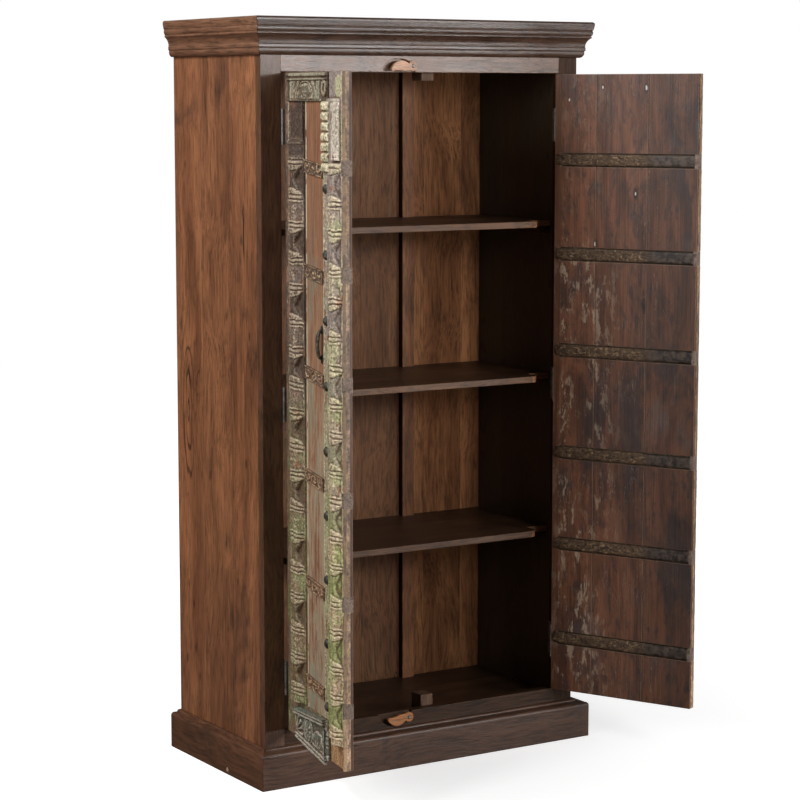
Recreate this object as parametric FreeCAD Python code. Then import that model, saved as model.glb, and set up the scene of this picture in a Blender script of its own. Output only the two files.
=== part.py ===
# Tall two-door cabinet with old carved doors, three shelves and two wooden turn latches.
# Sizes are in millimetres, +X to the right, +Y to the back, +Z up.
# The origin is the middle of the underside of the front plinth board.
# The doors stand open and the latches lie stowed, as the cabinet is shown.
import FreeCAD, Part
import math
import os
from FreeCAD import Placement, Rotation, Vector

UP = Vector(0, 0, 1)
BACK = Vector(0, 1, 0)
RIGHT = Vector(1, 0, 0)
ORIGIN = Vector(0, 0, 0)

# Overall sizes of the case
cabinet_height = 1900.0
carcass_width = 940.0
carcass_depth = 460.0
side_thickness = 18.0
overrun = 5.0

# Face frame: two stiles, a top rail and a bottom rail round the door opening
frame_thickness = 25.0
stile_width = 56.0
top_rail_visible = 40.0
bottom_rail_visible = 37.0
bottom_rail_width = 90.0

# Cornice, a moulding mitred round the front and the two sides
cornice_height = 91.5
cornice_front_projection = 39.0
cornice_side_projection = 30.0
cornice_outline_shares = [
    ((0.20, 0.0),),
    ((0.355, 0.045), (0.42, 0.165)),
    ((0.44, 0.185),),
    ((0.50, 0.20),),
    ((0.50, 0.275),),
    ((0.47, 0.30),),
    ((0.59, 0.46), (0.837, 0.555)),
    ((0.837, 0.585),),
    ((0.79, 0.60),),
    ((0.90, 0.675), (0.87, 0.755)),
    ((0.925, 0.775),),
    ((1.0, 0.905),),
    ((0.975, 0.972), (0.86, 1.0)),
    ((0.0, 1.0),),
]

# Plinth boards, with a rounded top edge and a small bead against the case
plinth_height = 97.5
plinth_front_projection = 42.0
plinth_side_projection = 30.0
plinth_round = 8.0
plinth_bead = 5.5
plinth_bead_reach = 12.0
plug_radius = 6.0
plug_depth = 8.0
plug_height = 12.0
plug_setback = 315.0

# Boards inside the case
top_board_thickness = 18.0
ceiling_thickness = 18.0
ceiling_rise = 23.5
floor_thickness = 18.0
floor_drop = 28.5
board_rear_setback = 10.0
back_recess = 25.0
back_thickness = 12.0
back_tongue = 5.0
mullion_width = 36.0
mullion_depth = 40.0
mullion_proud = 20.0
mullion_groove = 8.0
mullion_spacing = 412.0
bearer_size = 25.0

# Shelves, each cut back at its two front corners
shelf_thickness = 16.0
shelf_height_shares = (0.2705, 0.516, 0.758)
shelf_front_gap = 1.5
shelf_corner_width = 71.0
shelf_corner_depth = 60.0
shelf_corner_round = 28.0
cleat_size = 20.0
cleat_front_setback = 105.0

# Stop blocks that the right door shuts against
stop_offset = 6.5
stop_width = 36.0
stop_depth = 45.0
top_stop_drop = 44.0
bottom_stop_height = 57.0

# Door leaf of upright boards with let-in battens on the inner face
hinge_side_gap = 4.0
meeting_gap = 4.0
door_top_gap = 3.0
door_bottom_gap = 4.0
door_setback = 2.0
door_board_thickness = 16.0
door_board_shares = (0.0, 0.297, 0.66, 1.0)
board_groove = 1.5
batten_width = 36.0
batten_thickness = 10.0
batten_housing = 8.5
batten_hinge_margin = 16.0
batten_end_width = 8.0
batten_height_shares = (0.0876, 0.244, 0.394, 0.560, 0.715, 0.865)

# Carved overlay on the outer face of each door
edge_strip_margin = 3.0
edge_strip_share = 0.0784
edge_strip_thickness = 2.0
carved_stile_share = 0.25
panel_gap = 15.0
strip_gap = 2.0
panel_thickness = 3.0
stud_strip_share = 0.0784
stud_strip_thickness = 4.0
block_frame = 9.0
block_recess = 4.0
crossbar_width = 30.0
crossbar_thickness = 6.0
crossbar_fall = 10.0
crossbar_height_shares = (0.0974, 0.2474, 0.4078, 0.5608, 0.7102, 0.862)

# Head block, and foot block with its ledge and slanting edges
head_block_share = 0.0541
head_block_thickness = 12.0
foot_block_share = 0.0587
foot_left_share = 0.0489
foot_block_thickness = 13.0
foot_block_inset = 44.0
foot_drop = 18.0
foot_clearance = 4.0
foot_ledge_share = 0.157
foot_ledge_proud = 5.0

# Carved posts: square blocks with waisted balusters between, bevelled on both sides
outer_ground = 2.5
outer_post_share = 0.24
outer_post_proud = 19.0
outer_block_shares = (0.1494, 0.09262)
meeting_ground = 7.0
meeting_post_share = 0.1716
meeting_post_margin = 2.0
meeting_post_proud = 26.0
meeting_block_shares = (0.1265, 0.09527)
post_flat_share = 0.3
carved_block_share = 0.0332
baluster_proud_share = 0.8
collar_share = 0.9
cup_share = 0.66
waist_share = 0.28
collar_height = 8.0
cup_height = 20.0
plain_strip_share = 0.086
plain_strip_width = 54.0
plain_strip_proud = 17.5

# Bare corners of the left door, where the latches turn down over it
latch_zone_top = 62.0
latch_zone_bottom = 56.0
latch_zone_thickness = 2.0
latch_zone_rim = 11.0
latch_sweep_gap = 20.0

# Iron studs and the bow handle
stud_radius = 12.0
stud_height = 7.0
stud_height_shares = (0.078, 0.834)
stud_count = 9
handle_height_share = 0.6094
handle_length = 66.0
handle_rise = 17.0
handle_bar_radius = 4.5
handle_foot_radius = 9.0
handle_foot_thickness = 2.5
handle_offset_share = 0.3627

# Butt hinges, three to a door, with five knuckles each
hinge_height_shares = (0.0805, 0.503, 0.92)
hinge_length = 86.0
hinge_knuckles = 5
knuckle_radius = 4.0
hinge_pin_radius = 2.0
hinge_pin_gap = 0.05
hinge_axis_proud = 4.5
hinge_leaf_thickness = 1.6
frame_leaf_width = 24.0
door_leaf_width = 21.0
leaf_edge_gap = 0.3
knuckle_end_gap = 0.2
screw_radius = 1.8
screw_head_radius = 3.6
screw_length = 14.0
screw_spacing = 29.0
left_open_angle = 100.0
right_open_angle = 115.5

# Wooden turn latches, each in a scooped recess of its rail
latch_reach = 64.0
latch_head_radius = 13.0
latch_thickness = 10.0
latch_standoff = 1.5
top_latch_offset = 41.0
top_latch_rise = 15.5
bottom_latch_offset = 52.0
bottom_latch_drop = 13.5
bottom_latch_droop = 8.0
recess_depth = 10.0
recess_beyond_tip = 20.0
recess_height = 33.0
latch_pin_radius = 2.5
latch_pin_gap = 0.05
latch_pin_length = 32.0
latch_side_gap = 0.15
latch_screw_head_radius = 5.0
latch_screw_head_height = 2.5
latch_spacer_radius = 4.5
latch_lobe_start_shares = (-1.0, -0.68)
latch_lobe_shares = [
    ((-0.53, 1.05), (-0.17, 0.42)),
    ((-0.08, -0.60),),
    ((-0.12, -0.86),),
    ((-0.40, -1.02),),
    ((-0.70, -0.84), (-0.93, -1.0)),
]

# Places that follow from the sizes above
half_width = carcass_width / 2
front = plinth_front_projection / 2
rear = front + carcass_depth
frame_back = front + frame_thickness
inner_half = half_width - side_thickness
opening_half = half_width - stile_width
case_top = cabinet_height - top_board_thickness
opening_top = cabinet_height - cornice_height - top_rail_visible
opening_bottom = plinth_height + bottom_rail_visible
floor_top = opening_bottom - floor_drop
floor_under = floor_top - floor_thickness
ceiling_under = opening_top + ceiling_rise
board_rear = rear - board_rear_setback
back_rear = rear - back_recess
back_front = back_rear - back_thickness
mullion_front = back_front - mullion_proud
interior_height = ceiling_under - floor_top
door_width = opening_half - hinge_side_gap - meeting_gap / 2
door_bottom = opening_bottom + door_bottom_gap
door_top = opening_top - door_top_gap
door_height = door_top - door_bottom
door_edge = -opening_half + hinge_side_gap
door_face = front + door_setback
hinge_x = -opening_half + hinge_side_gap / 2
hinge_y = front - hinge_axis_proud
shelf_tops = [floor_top + share * interior_height for share in shelf_height_shares]
hinge_heights = [door_bottom + share * door_height for share in hinge_height_shares]

# Columns of the door face, measured from its hinge edge
carved_stile_width = carved_stile_share * door_width
outer_stile_start = edge_strip_margin + edge_strip_share * door_width
outer_stile_end = outer_stile_start + carved_stile_width
outer_post_width = outer_post_share * door_width
panel_start = outer_stile_end + panel_gap
meeting_stile_start = door_width - carved_stile_width
meeting_post_width = meeting_post_share * door_width
meeting_post_middle = door_width - meeting_post_margin - meeting_post_width / 2
stud_strip_end = meeting_stile_start - strip_gap / 2
stud_strip_start = stud_strip_end - stud_strip_share * door_width
panel_end = stud_strip_start - strip_gap / 2
block_end = meeting_stile_start - latch_sweep_gap
head_bottom = door_top - head_block_share * door_height
foot_top = door_bottom + foot_block_share * door_height
foot_top_left = door_bottom + foot_left_share * door_height
foot_start = outer_stile_start + foot_block_inset
foot_ledge_height = foot_ledge_share * foot_block_share * door_height
carved_block_height = carved_block_share * door_height
plain_strip_length = plain_strip_share * door_height
handle_height = door_bottom + handle_height_share * door_height


def box(x0, x1, y0, y1, z0, z1):
    return Part.makeBox(x1 - x0, y1 - y0, z1 - z0, Vector(x0, y0, z0))


def mirrored(shape):
    return shape.mirror(ORIGIN, RIGHT)


def group(shapes):
    return Part.makeCompound(shapes)


def upright_prism(corners, z0, z1):
    base = [Vector(x, y, z0) for x, y in corners]
    face = Part.Face(Part.makePolygon(base + base[:1]))
    return face.extrude(UP * (z1 - z0))


def outline_face(start, runs, place):
    """Close an outline of straight runs, given by one point, and arcs, given by two."""
    edges = []
    here = place(*start)
    for run in runs:
        points = [place(*point) for point in run]
        if len(points) == 1:
            edges.append(Part.LineSegment(here, points[0]).toShape())
        else:
            edges.append(Part.Arc(here, points[0], points[1]).toShape())
        here = points[-1]
    edges.append(Part.LineSegment(here, place(*start)).toShape())
    return Part.Face(Part.Wire(edges))


# Face frame


def latch_recess(pivot_x, edge_z, away):
    """Scoop for a turn latch: half an oval that is open at the rail's edge."""
    left = pivot_x - latch_reach - recess_beyond_tip
    right = pivot_x + latch_head_radius
    crown = edge_z + away * recess_height
    middle = (left + right) / 2
    knee = (right - left) / 2 * math.sqrt(0.5)
    waist = edge_z + away * recess_height * math.sqrt(0.5)
    outline = [((middle - knee, waist), (middle, crown)), ((middle + knee, waist), (right, edge_z))]
    face = outline_face((left, edge_z), outline, lambda x, z: Vector(x, front, z))
    mouth = box(left, right, front, front + recess_depth, edge_z - overrun, edge_z + overrun)
    return face.extrude(BACK * recess_depth).fuse(mouth)


def face_stile():
    stile = box(-half_width, -opening_half, front, frame_back, 0, case_top)
    return stile.cut(frame_screws())


def top_rail():
    rail = box(-opening_half, opening_half, front, frame_back, opening_top, case_top)
    rail = rail.cut(latch_recess(-top_latch_offset, opening_top, 1))
    return rail.cut(latch_screw(*top_latch_pivot()))


def bottom_rail():
    low = opening_bottom - bottom_rail_width
    rail = box(-opening_half, opening_half, front, frame_back, low, opening_bottom)
    rail = rail.cut(latch_recess(-bottom_latch_offset, opening_bottom, -1))
    return rail.cut(latch_screw(*bottom_latch_pivot()))


# Case boards


def side_panel():
    panel = box(-half_width, -inner_half, frame_back, rear, 0, case_top)
    groove_end = -inner_half - back_tongue
    groove = box(groove_end, -inner_half, back_front, back_rear, floor_top, ceiling_under)
    return panel.cut(groove)


def top_board():
    return box(-half_width, half_width, front, rear, case_top, cabinet_height)


def ceiling_board():
    top = ceiling_under + ceiling_thickness
    return box(-inner_half, inner_half, frame_back, board_rear, ceiling_under, top)


def floor_board():
    return box(-inner_half, inner_half, frame_back, board_rear, floor_under, floor_top)


def plinth_back():
    return box(-inner_half, inner_half, board_rear - side_thickness, board_rear, 0, floor_under)


def floor_bearers():
    back_end = board_rear - side_thickness
    low = floor_under - bearer_size
    bearer = box(-inner_half, -inner_half + bearer_size, frame_back, back_end, low, floor_under)
    return group([bearer, mirrored(bearer)])


# Back: two grooved mullions with three thin panels between them


def back_mullion():
    x0 = -mullion_spacing / 2 - mullion_width / 2
    x1 = x0 + mullion_width
    post = box(x0, x1, mullion_front, mullion_front + mullion_depth, floor_top, ceiling_under)
    for edge, inside in ((x0, x0 + mullion_groove), (x1 - mullion_groove, x1)):
        post = post.cut(box(edge, inside, back_front, back_rear, floor_top, ceiling_under))
    return post


def back_panel_centre():
    reach = mullion_spacing / 2 - mullion_width / 2 + mullion_groove
    return box(-reach, reach, back_front, back_rear, floor_top, ceiling_under)


def back_panel_side():
    x0 = -inner_half - back_tongue
    x1 = -mullion_spacing / 2 - mullion_width / 2 + mullion_groove
    return box(x0, x1, back_front, back_rear, floor_top, ceiling_under)


# Shelves on cleats


def shelf(top):
    y0 = frame_back + shelf_front_gap
    low = top - shelf_thickness
    board = box(-inner_half, inner_half, y0, back_front, low, top)
    notch_x = inner_half - shelf_corner_width
    notch_y = y0 + shelf_corner_depth
    turn = shelf_corner_round * (1 - math.sqrt(0.5))
    right_cut = [
        ((notch_x - turn, y0 + turn), (notch_x, y0 + shelf_corner_round)),
        ((notch_x, notch_y),),
        ((inner_half, notch_y),),
        ((inner_half, y0),),
    ]
    start = (notch_x - shelf_corner_round, y0)
    corner = outline_face(start, right_cut, lambda x, y: Vector(x, y, low))
    corner = corner.extrude(UP * shelf_thickness)
    board = board.cut(corner).cut(mirrored(corner))
    reach = mullion_width / 2
    for x in (-mullion_spacing / 2, mullion_spacing / 2):
        board = board.cut(box(x - reach, x + reach, mullion_front, back_front, low, top))
    return board


def shelf_cleats():
    y0 = front + cleat_front_setback
    cleats = []
    for top in shelf_tops:
        under = top - shelf_thickness
        x1 = -inner_half + cleat_size
        cleat = box(-inner_half, x1, y0, back_front, under - cleat_size, under)
        cleats += [cleat, mirrored(cleat)]
    return group(cleats)


def stop_block(low, high):
    y1 = frame_back + stop_depth
    return box(stop_offset, stop_offset + stop_width, frame_back, y1, low, high)


# Cornice and plinth, each of three mitred runs


def run_footprint(front_reach, side_reach, side):
    corner = (-half_width, front)
    outer = (-half_width - side_reach, front - front_reach)
    if side:
        return [corner, outer, (-half_width - side_reach, rear), (-half_width, rear)]
    return [corner, outer, (-outer[0], outer[1]), (-corner[0], corner[1])]


def moulding_run(outline, front_reach, side_reach, low, height, side):
    """One run of a moulding, its outline given by reach and height from 0 to 1."""
    x0 = -half_width - side_reach
    y0 = front - front_reach
    if side:
        place = lambda out, up: Vector(-half_width - out * side_reach, y0, low + up * height)
        length = BACK * (carcass_depth + front_reach)
    else:
        place = lambda out, up: Vector(x0, front - out * front_reach, low + up * height)
        length = RIGHT * (carcass_width + 2 * side_reach)
    bar = outline_face((0.0, 0.0), outline, place).extrude(length)
    prism = upright_prism(run_footprint(front_reach, side_reach, side), low, low + height)
    return bar.common(prism)


def cornice_run(side):
    reaches = (cornice_front_projection, cornice_side_projection)
    low = cabinet_height - cornice_height
    return moulding_run(cornice_outline_shares, *reaches, low, cornice_height, side)


def plinth_outline(reach):
    """Outline of a plinth board as shares of its reach and height."""
    slope = math.sqrt(0.5)
    shoulder = plinth_height - plinth_bead
    face_top = shoulder - plinth_round
    inset = 1 - plinth_round / reach
    bead_foot = plinth_bead_reach / reach
    bead_top = (plinth_bead_reach - plinth_bead) / reach
    mid_round = (inset + slope * plinth_round / reach, (face_top + slope * plinth_round) / plinth_height)
    mid_bead = (bead_top + slope * plinth_bead / reach, (shoulder + slope * plinth_bead) / plinth_height)
    return [
        ((1.0, 0.0),),
        ((1.0, face_top / plinth_height),),
        (mid_round, (inset, shoulder / plinth_height)),
        ((bead_foot, shoulder / plinth_height),),
        (mid_bead, (bead_top, 1.0)),
        ((0.0, 1.0),),
    ]


def plinth_run(side):
    reach = plinth_side_projection if side else plinth_front_projection
    reaches = (plinth_front_projection, plinth_side_projection)
    run = moulding_run(plinth_outline(reach), *reaches, 0.0, plinth_height, side)
    return run.cut(plinth_plug()) if side else run


def plinth_plug():
    start = Vector(-half_width - plinth_side_projection, front + carcass_depth - plug_setback, plug_height)
    return Part.makeCylinder(plug_radius, plug_depth, start, RIGHT)


# Hinges. The shapes are those of the left door, shut, and the right ones are their mirror.


def at_hinge(height, shape):
    return shape.translated(Vector(hinge_x, hinge_y, height))


def knuckle_rows():
    """Low end, high end and whether the frame leaf holds each knuckle."""
    pitch = hinge_length / hinge_knuckles
    rows = []
    for index in range(hinge_knuckles):
        low = index * pitch - hinge_length / 2
        rows.append((low + knuckle_end_gap / 2, low + pitch - knuckle_end_gap / 2, index % 2 == 0))
    return rows


def hinge_leaf(on_frame):
    """Leaf plate and its knuckles, with the pin's axis on Z through the origin."""
    width = frame_leaf_width if on_frame else door_leaf_width
    near = hinge_side_gap / 2 - hinge_leaf_thickness
    clear = knuckle_radius + leaf_edge_gap
    back_edge = hinge_axis_proud + width
    plate = box(near, hinge_side_gap / 2, clear, back_edge, -hinge_length / 2, hinge_length / 2)
    hole_radius = hinge_pin_radius if on_frame else hinge_pin_radius + hinge_pin_gap
    for low, high, frame_row in knuckle_rows():
        if frame_row == on_frame:
            tube = Part.makeCylinder(knuckle_radius, high - low, Vector(0, 0, low), UP)
            web = box(near, hinge_side_gap / 2, 0, clear, low, high)
            plate = plate.fuse(tube).fuse(web)
    span = hinge_length + 2 * overrun
    hole = Part.makeCylinder(hole_radius, span, Vector(0, 0, -span / 2), UP)
    plate = plate.cut(hole)
    return mirrored(plate) if on_frame else plate


def countersunk_screw(start, direction):
    """Screw with its flat head flush at the start point."""
    head = Part.makeCone(screw_head_radius, screw_radius, hinge_leaf_thickness, start, direction)
    shank = Part.makeCylinder(screw_radius, screw_length, start, direction)
    return head.fuse(shank)


def leaf_screws(on_frame):
    width = frame_leaf_width if on_frame else door_leaf_width
    sign = -1 if on_frame else 1
    surface = sign * (hinge_side_gap / 2 - hinge_leaf_thickness)
    depth = hinge_axis_proud + width / 2
    heights = (-screw_spacing, 0, screw_spacing)
    return [countersunk_screw(Vector(surface, depth, z), RIGHT * sign) for z in heights]


def frame_screws():
    return group([at_hinge(height, group(leaf_screws(True))) for height in hinge_heights])


def door_screws():
    return group([at_hinge(height, group(leaf_screws(False))) for height in hinge_heights])


def frame_leaves():
    leaf = hinge_leaf(True).cut(group(leaf_screws(True)))
    left = [at_hinge(height, leaf) for height in hinge_heights]
    return group(left + [mirrored(leaf) for leaf in left])


def door_leaves():
    screws = leaf_screws(False)
    leaf = hinge_leaf(False).cut(group(screws))
    return group([at_hinge(height, piece) for height in hinge_heights for piece in [leaf] + screws])


def hinge_pins():
    low = Vector(0, 0, -hinge_length / 2)
    pin = Part.makeCylinder(hinge_pin_radius, hinge_length, low, UP)
    left = [at_hinge(height, pin) for height in hinge_heights]
    return group(left + [mirrored(pin) for pin in left])


# Turn latches


def top_latch_pivot():
    return -top_latch_offset, opening_top + top_latch_rise


def bottom_latch_pivot():
    return -bottom_latch_offset, opening_bottom - bottom_latch_drop


def latch(pivot_x, pivot_z, away, droop):
    """Round head on the pivot and a long lobe to its left, with the bulge facing away."""
    back = front - latch_standoff
    place = lambda x, z: Vector(x * latch_reach, back, z * latch_head_radius * away)
    outline = outline_face(latch_lobe_start_shares, latch_lobe_shares, place)
    lobe = outline.extrude(-BACK * latch_thickness)
    head = Part.makeCylinder(latch_head_radius, latch_thickness, Vector(0, back, 0), -BACK)
    body = head.fuse(lobe)
    hole_radius = latch_pin_radius + latch_pin_gap
    start = Vector(0, back + overrun, 0)
    body = body.cut(Part.makeCylinder(hole_radius, latch_thickness + 2 * overrun, start, -BACK))
    body.rotate(ORIGIN, BACK, -droop)
    return body.translated(Vector(pivot_x, 0, pivot_z))


def latch_screw(pivot_x, pivot_z):
    head_seat = front - latch_standoff - latch_thickness - latch_side_gap
    start = Vector(pivot_x, head_seat, pivot_z)
    shank = Part.makeCylinder(latch_pin_radius, latch_pin_length, start, BACK)
    head = Part.makeCone(
        latch_screw_head_radius, latch_pin_radius, latch_screw_head_height, start, -BACK
    )
    return shank.fuse(head)


def latch_spacer(pivot_x, pivot_z):
    back_end = front + recess_depth
    length = recess_depth + latch_standoff - latch_side_gap
    start = Vector(pivot_x, back_end, pivot_z)
    collar = Part.makeCylinder(latch_spacer_radius, length, start, -BACK)
    return collar.cut(latch_screw(pivot_x, pivot_z))


def latch_fixings():
    pivots = (top_latch_pivot(), bottom_latch_pivot())
    return group([make(*pivot) for pivot in pivots for make in (latch_screw, latch_spacer)])


# Door, modelled shut on the left side: s runs from its hinge edge, t outward from its boards


def on_door(s0, s1, t0, t1, z0, z1):
    return box(door_edge + s0, door_edge + s1, door_face - t1, door_face - t0, z0, z1)


def door_column(corners, t0, t1):
    """Solid on the door face from corners given as s and height."""
    points = [Vector(door_edge + s, door_face - t0, z) for s, z in corners]
    face = Part.Face(Part.makePolygon(points + points[:1]))
    return face.extrude(-BACK * (t1 - t0))


def door_battens():
    """Battens let into the inner face, each with a full-depth block at the free edge."""
    battens = []
    block_start = door_width - batten_end_width
    inner = door_board_thickness - batten_housing
    outside = inner + batten_thickness
    for share in batten_height_shares:
        middle = door_bottom + share * door_height
        low = middle - batten_width / 2
        high = middle + batten_width / 2
        batten = on_door(batten_hinge_margin, door_width, -outside, -inner, low, high)
        battens.append(batten.fuse(on_door(block_start, door_width, -outside, 0, low, high)))
    return group(battens)


def groove_between_boards(s):
    y = door_face + door_board_thickness
    corners = [(door_edge + s - board_groove, y), (door_edge + s, y - board_groove)]
    return upright_prism(corners + [(door_edge + s + board_groove, y)], door_bottom, door_top)


def door_boards():
    """Three upright boards, and the plain strip nailed on beside the hinges."""
    edges = [share * door_width for share in door_board_shares]
    battens = door_battens()
    screws = door_screws()
    strip_end = outer_stile_start
    strip = on_door(edge_strip_margin, strip_end, 0, edge_strip_thickness, door_bottom, door_top)
    boards = [strip]
    for index, (s0, s1) in enumerate(zip(edges, edges[1:])):
        board = on_door(s0, s1, -door_board_thickness, 0, door_bottom, door_top).cut(battens)
        for s in (s0, s1):
            if 0 < s < door_width:
                board = board.cut(groove_between_boards(s))
        if index == 0:
            board = board.cut(screws)
        boards.append(board)
    return group(boards)


def bevelled_bar(middle, width, ground, proud, low, high):
    """Upright bar on the door face, flat in front and bevelled on both sides."""
    foot = width / 2
    brow = post_flat_share * width / 2
    outline = [(-foot, ground), (-brow, proud), (brow, proud), (foot, ground)]
    corners = [(door_edge + middle + s, door_face - t) for s, t in outline]
    return upright_prism(corners, low, high)


def baluster(middle, half, ground, proud, z0, pitch):
    """Waisted baluster between two square blocks, widest at its collars."""
    bottom = z0 + carved_block_height / 2
    top = z0 + pitch - carved_block_height / 2
    waist = (bottom + top) / 2
    profile = [
        (collar_share, bottom),
        (collar_share, bottom + collar_height),
        (cup_share, bottom + collar_height + cup_height),
        (waist_share, waist),
        (cup_share, top - collar_height - cup_height),
        (collar_share, top - collar_height),
        (collar_share, top),
    ]
    right = [(middle + share * half, z) for share, z in profile]
    left = [(middle - share * half, z) for share, z in reversed(profile)]
    return door_column(right + left, ground, ground + baluster_proud_share * (proud - ground))


def carved_post(middle, width, ground, proud, block_shares, high):
    """Blocks and balusters up a post, as many as fit below the given height."""
    first = door_bottom + block_shares[0] * door_height
    pitch = block_shares[1] * door_height
    s0 = middle - width / 2
    half = carved_block_height / 2
    bar = bevelled_bar(middle, width, ground, proud, door_bottom, door_top)
    solids = []
    z = first
    while z + half <= high:
        solids.append(on_door(s0, s0 + width, ground, proud, z - half, z + half).common(bar))
        if z + pitch + half <= high:
            waisted = baluster(middle, width / 2, ground, proud, z, pitch)
            solids.append(waisted.common(bar))
        z += pitch
    return solids


def outer_stile():
    middle = (outer_stile_start + outer_stile_end) / 2
    body = on_door(outer_stile_start, outer_stile_end, 0, outer_ground, foot_top, head_bottom)
    sizes = (outer_post_width, outer_ground, outer_post_proud)
    return body.fuse(carved_post(middle, *sizes, outer_block_shares, head_bottom))


def meeting_stile(has_latches):
    s0 = meeting_stile_start
    low = door_bottom + latch_zone_bottom if has_latches else door_bottom
    high = door_top - latch_zone_top if has_latches else door_top
    body = on_door(s0, door_width, 0, meeting_ground, low, high)
    if has_latches:
        rim = door_width - latch_zone_rim
        body = body.fuse(on_door(s0, rim, 0, latch_zone_thickness, door_bottom, door_top))
        body = body.fuse(on_door(rim, door_width, 0, meeting_ground, door_bottom, door_top))
    sizes = (meeting_post_width, meeting_ground, meeting_post_proud)
    strip_high = door_top - latch_zone_top
    strip_low = strip_high - plain_strip_length
    strip_sizes = (plain_strip_width, meeting_ground, plain_strip_proud)
    strip = bevelled_bar(meeting_post_middle, *strip_sizes, strip_low, strip_high)
    post = carved_post(meeting_post_middle, *sizes, meeting_block_shares, strip_low)
    return body.fuse([strip] + post).cut(batten_notches())


def batten_notches():
    """Room at the free edge of the overlay, in front of each batten end."""
    notches = []
    s0 = door_width - batten_end_width
    for share in batten_height_shares:
        middle = door_bottom + share * door_height
        low = middle - batten_width / 2
        notches.append(on_door(s0, door_width, 0, meeting_post_proud, low, low + batten_width))
    return group(notches)


def centre_panel():
    return on_door(panel_start, panel_end, 0, panel_thickness, foot_top, head_bottom)


def stud_strip():
    strip = (stud_strip_start, stud_strip_end, 0, stud_strip_thickness)
    return on_door(*strip, foot_top, head_bottom)


def slanted_bar(s0, s1, low_left, low_right, width_left, width_right, t0, t1):
    """Bar on the door face whose long edges slant."""
    low = [(s0, low_left), (s1, low_right)]
    high = [(s1, low_right + width_right), (s0, low_left + width_left)]
    return door_column(low + high, t0, t1)


def crossbars():
    bars = []
    widths = (crossbar_width, crossbar_width)
    t1 = panel_thickness + crossbar_thickness
    for share in crossbar_height_shares:
        low = door_bottom + share * door_height - crossbar_width / 2
        ends = (low + crossbar_fall / 2, low - crossbar_fall / 2)
        bars.append(slanted_bar(panel_start, panel_end, *ends, *widths, panel_thickness, t1))
    return group(bars)


def head_block():
    face = head_block_thickness
    block = on_door(outer_stile_start, block_end, 0, face, head_bottom, door_top)
    sunk = on_door(
        outer_stile_start + block_frame,
        block_end - block_frame,
        face - block_recess,
        face,
        head_bottom + block_frame,
        door_top - block_frame,
    )
    return block.cut(sunk)


def foot_block():
    """Block whose lower edge hangs below the door in front of the bottom rail."""
    columns = (foot_start, block_end)
    face = foot_block_thickness
    left = foot_top_left - door_bottom
    right = foot_top - door_bottom
    lows = (door_bottom, door_bottom)
    back = slanted_bar(*columns, *lows, left, right, 0, foot_clearance)
    hung = (door_bottom, door_bottom - foot_drop)
    block = slanted_bar(*columns, *hung, left, right + foot_drop, foot_clearance, face)
    tops = (foot_top_left - foot_ledge_height, foot_top - foot_ledge_height)
    ledge_widths = (foot_ledge_height, foot_ledge_height)
    ledge = slanted_bar(*columns, *tops, *ledge_widths, 0, face + foot_ledge_proud)
    inside = (foot_start + block_frame, block_end - block_frame)
    sunk_lows = (door_bottom + block_frame, door_bottom)
    sunk_widths = [top - low for top, low in zip(tops, sunk_lows)]
    sunk = slanted_bar(*inside, *sunk_lows, *sunk_widths, face - block_recess, face)
    return back.fuse(block).cut(sunk).fuse(ledge)


def door_studs():
    """Domed iron nail heads down the stud strip."""
    s = (stud_strip_start + stud_strip_end) / 2
    seat = door_face - stud_strip_thickness
    ball = (stud_radius ** 2 + stud_height ** 2) / (2 * stud_height)
    rim = math.degrees(math.asin((ball - stud_height) / ball))
    domes = []
    first, last = stud_height_shares
    for index in range(stud_count):
        share = first + (last - first) * index / (stud_count - 1)
        z = door_bottom + share * door_height
        centre = Vector(door_edge + s, seat + ball - stud_height, z)
        domes.append(Part.makeSphere(ball, centre, -BACK, rim, 90, 360))
    return group(domes)


def door_handle():
    """Bow of round iron bar that stands on two flat feet."""
    s = (1 - handle_offset_share) * door_width
    x = door_edge + s
    seat = door_face - panel_thickness
    middle = Vector(x, seat - handle_rise, handle_height)
    low = Vector(x, seat, handle_height - handle_length / 2)
    high = Vector(x, seat, handle_height + handle_length / 2)
    arc = Part.Arc(low, middle, high)
    path = Part.Wire([arc.toShape()])
    start = arc.FirstParameter
    section = Part.Circle(low, arc.tangent(start)[0], handle_bar_radius).toShape()
    bow = path.makePipeShell([Part.Wire([section])], True, True)
    behind = on_door(0, door_width, -door_board_thickness, 0, door_bottom, door_top)
    bow = bow.cut(behind.translated(-BACK * panel_thickness))
    for end in (low, high):
        bow = bow.fuse(Part.makeCylinder(handle_foot_radius, handle_foot_thickness, end, -BACK))
    return bow


def shut_door(has_latches):
    """All pieces of a left-hand door, shut, by the last part of their names."""
    return {
        "boards": door_boards(),
        "battens": door_battens(),
        "outer_stile": outer_stile(),
        "meeting_stile": meeting_stile(has_latches),
        "centre_panel": centre_panel(),
        "stud_strip": stud_strip(),
        "crossbars": crossbars(),
        "head_block": head_block(),
        "foot_block": foot_block(),
        "studs": door_studs(),
        "handle": door_handle(),
        "hinge_leaves": door_leaves(),
    }


def opened(shape, pin_x, angle):
    turned = shape.copy()
    turned.rotate(Vector(pin_x, hinge_y, 0), UP, angle)
    return turned


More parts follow.
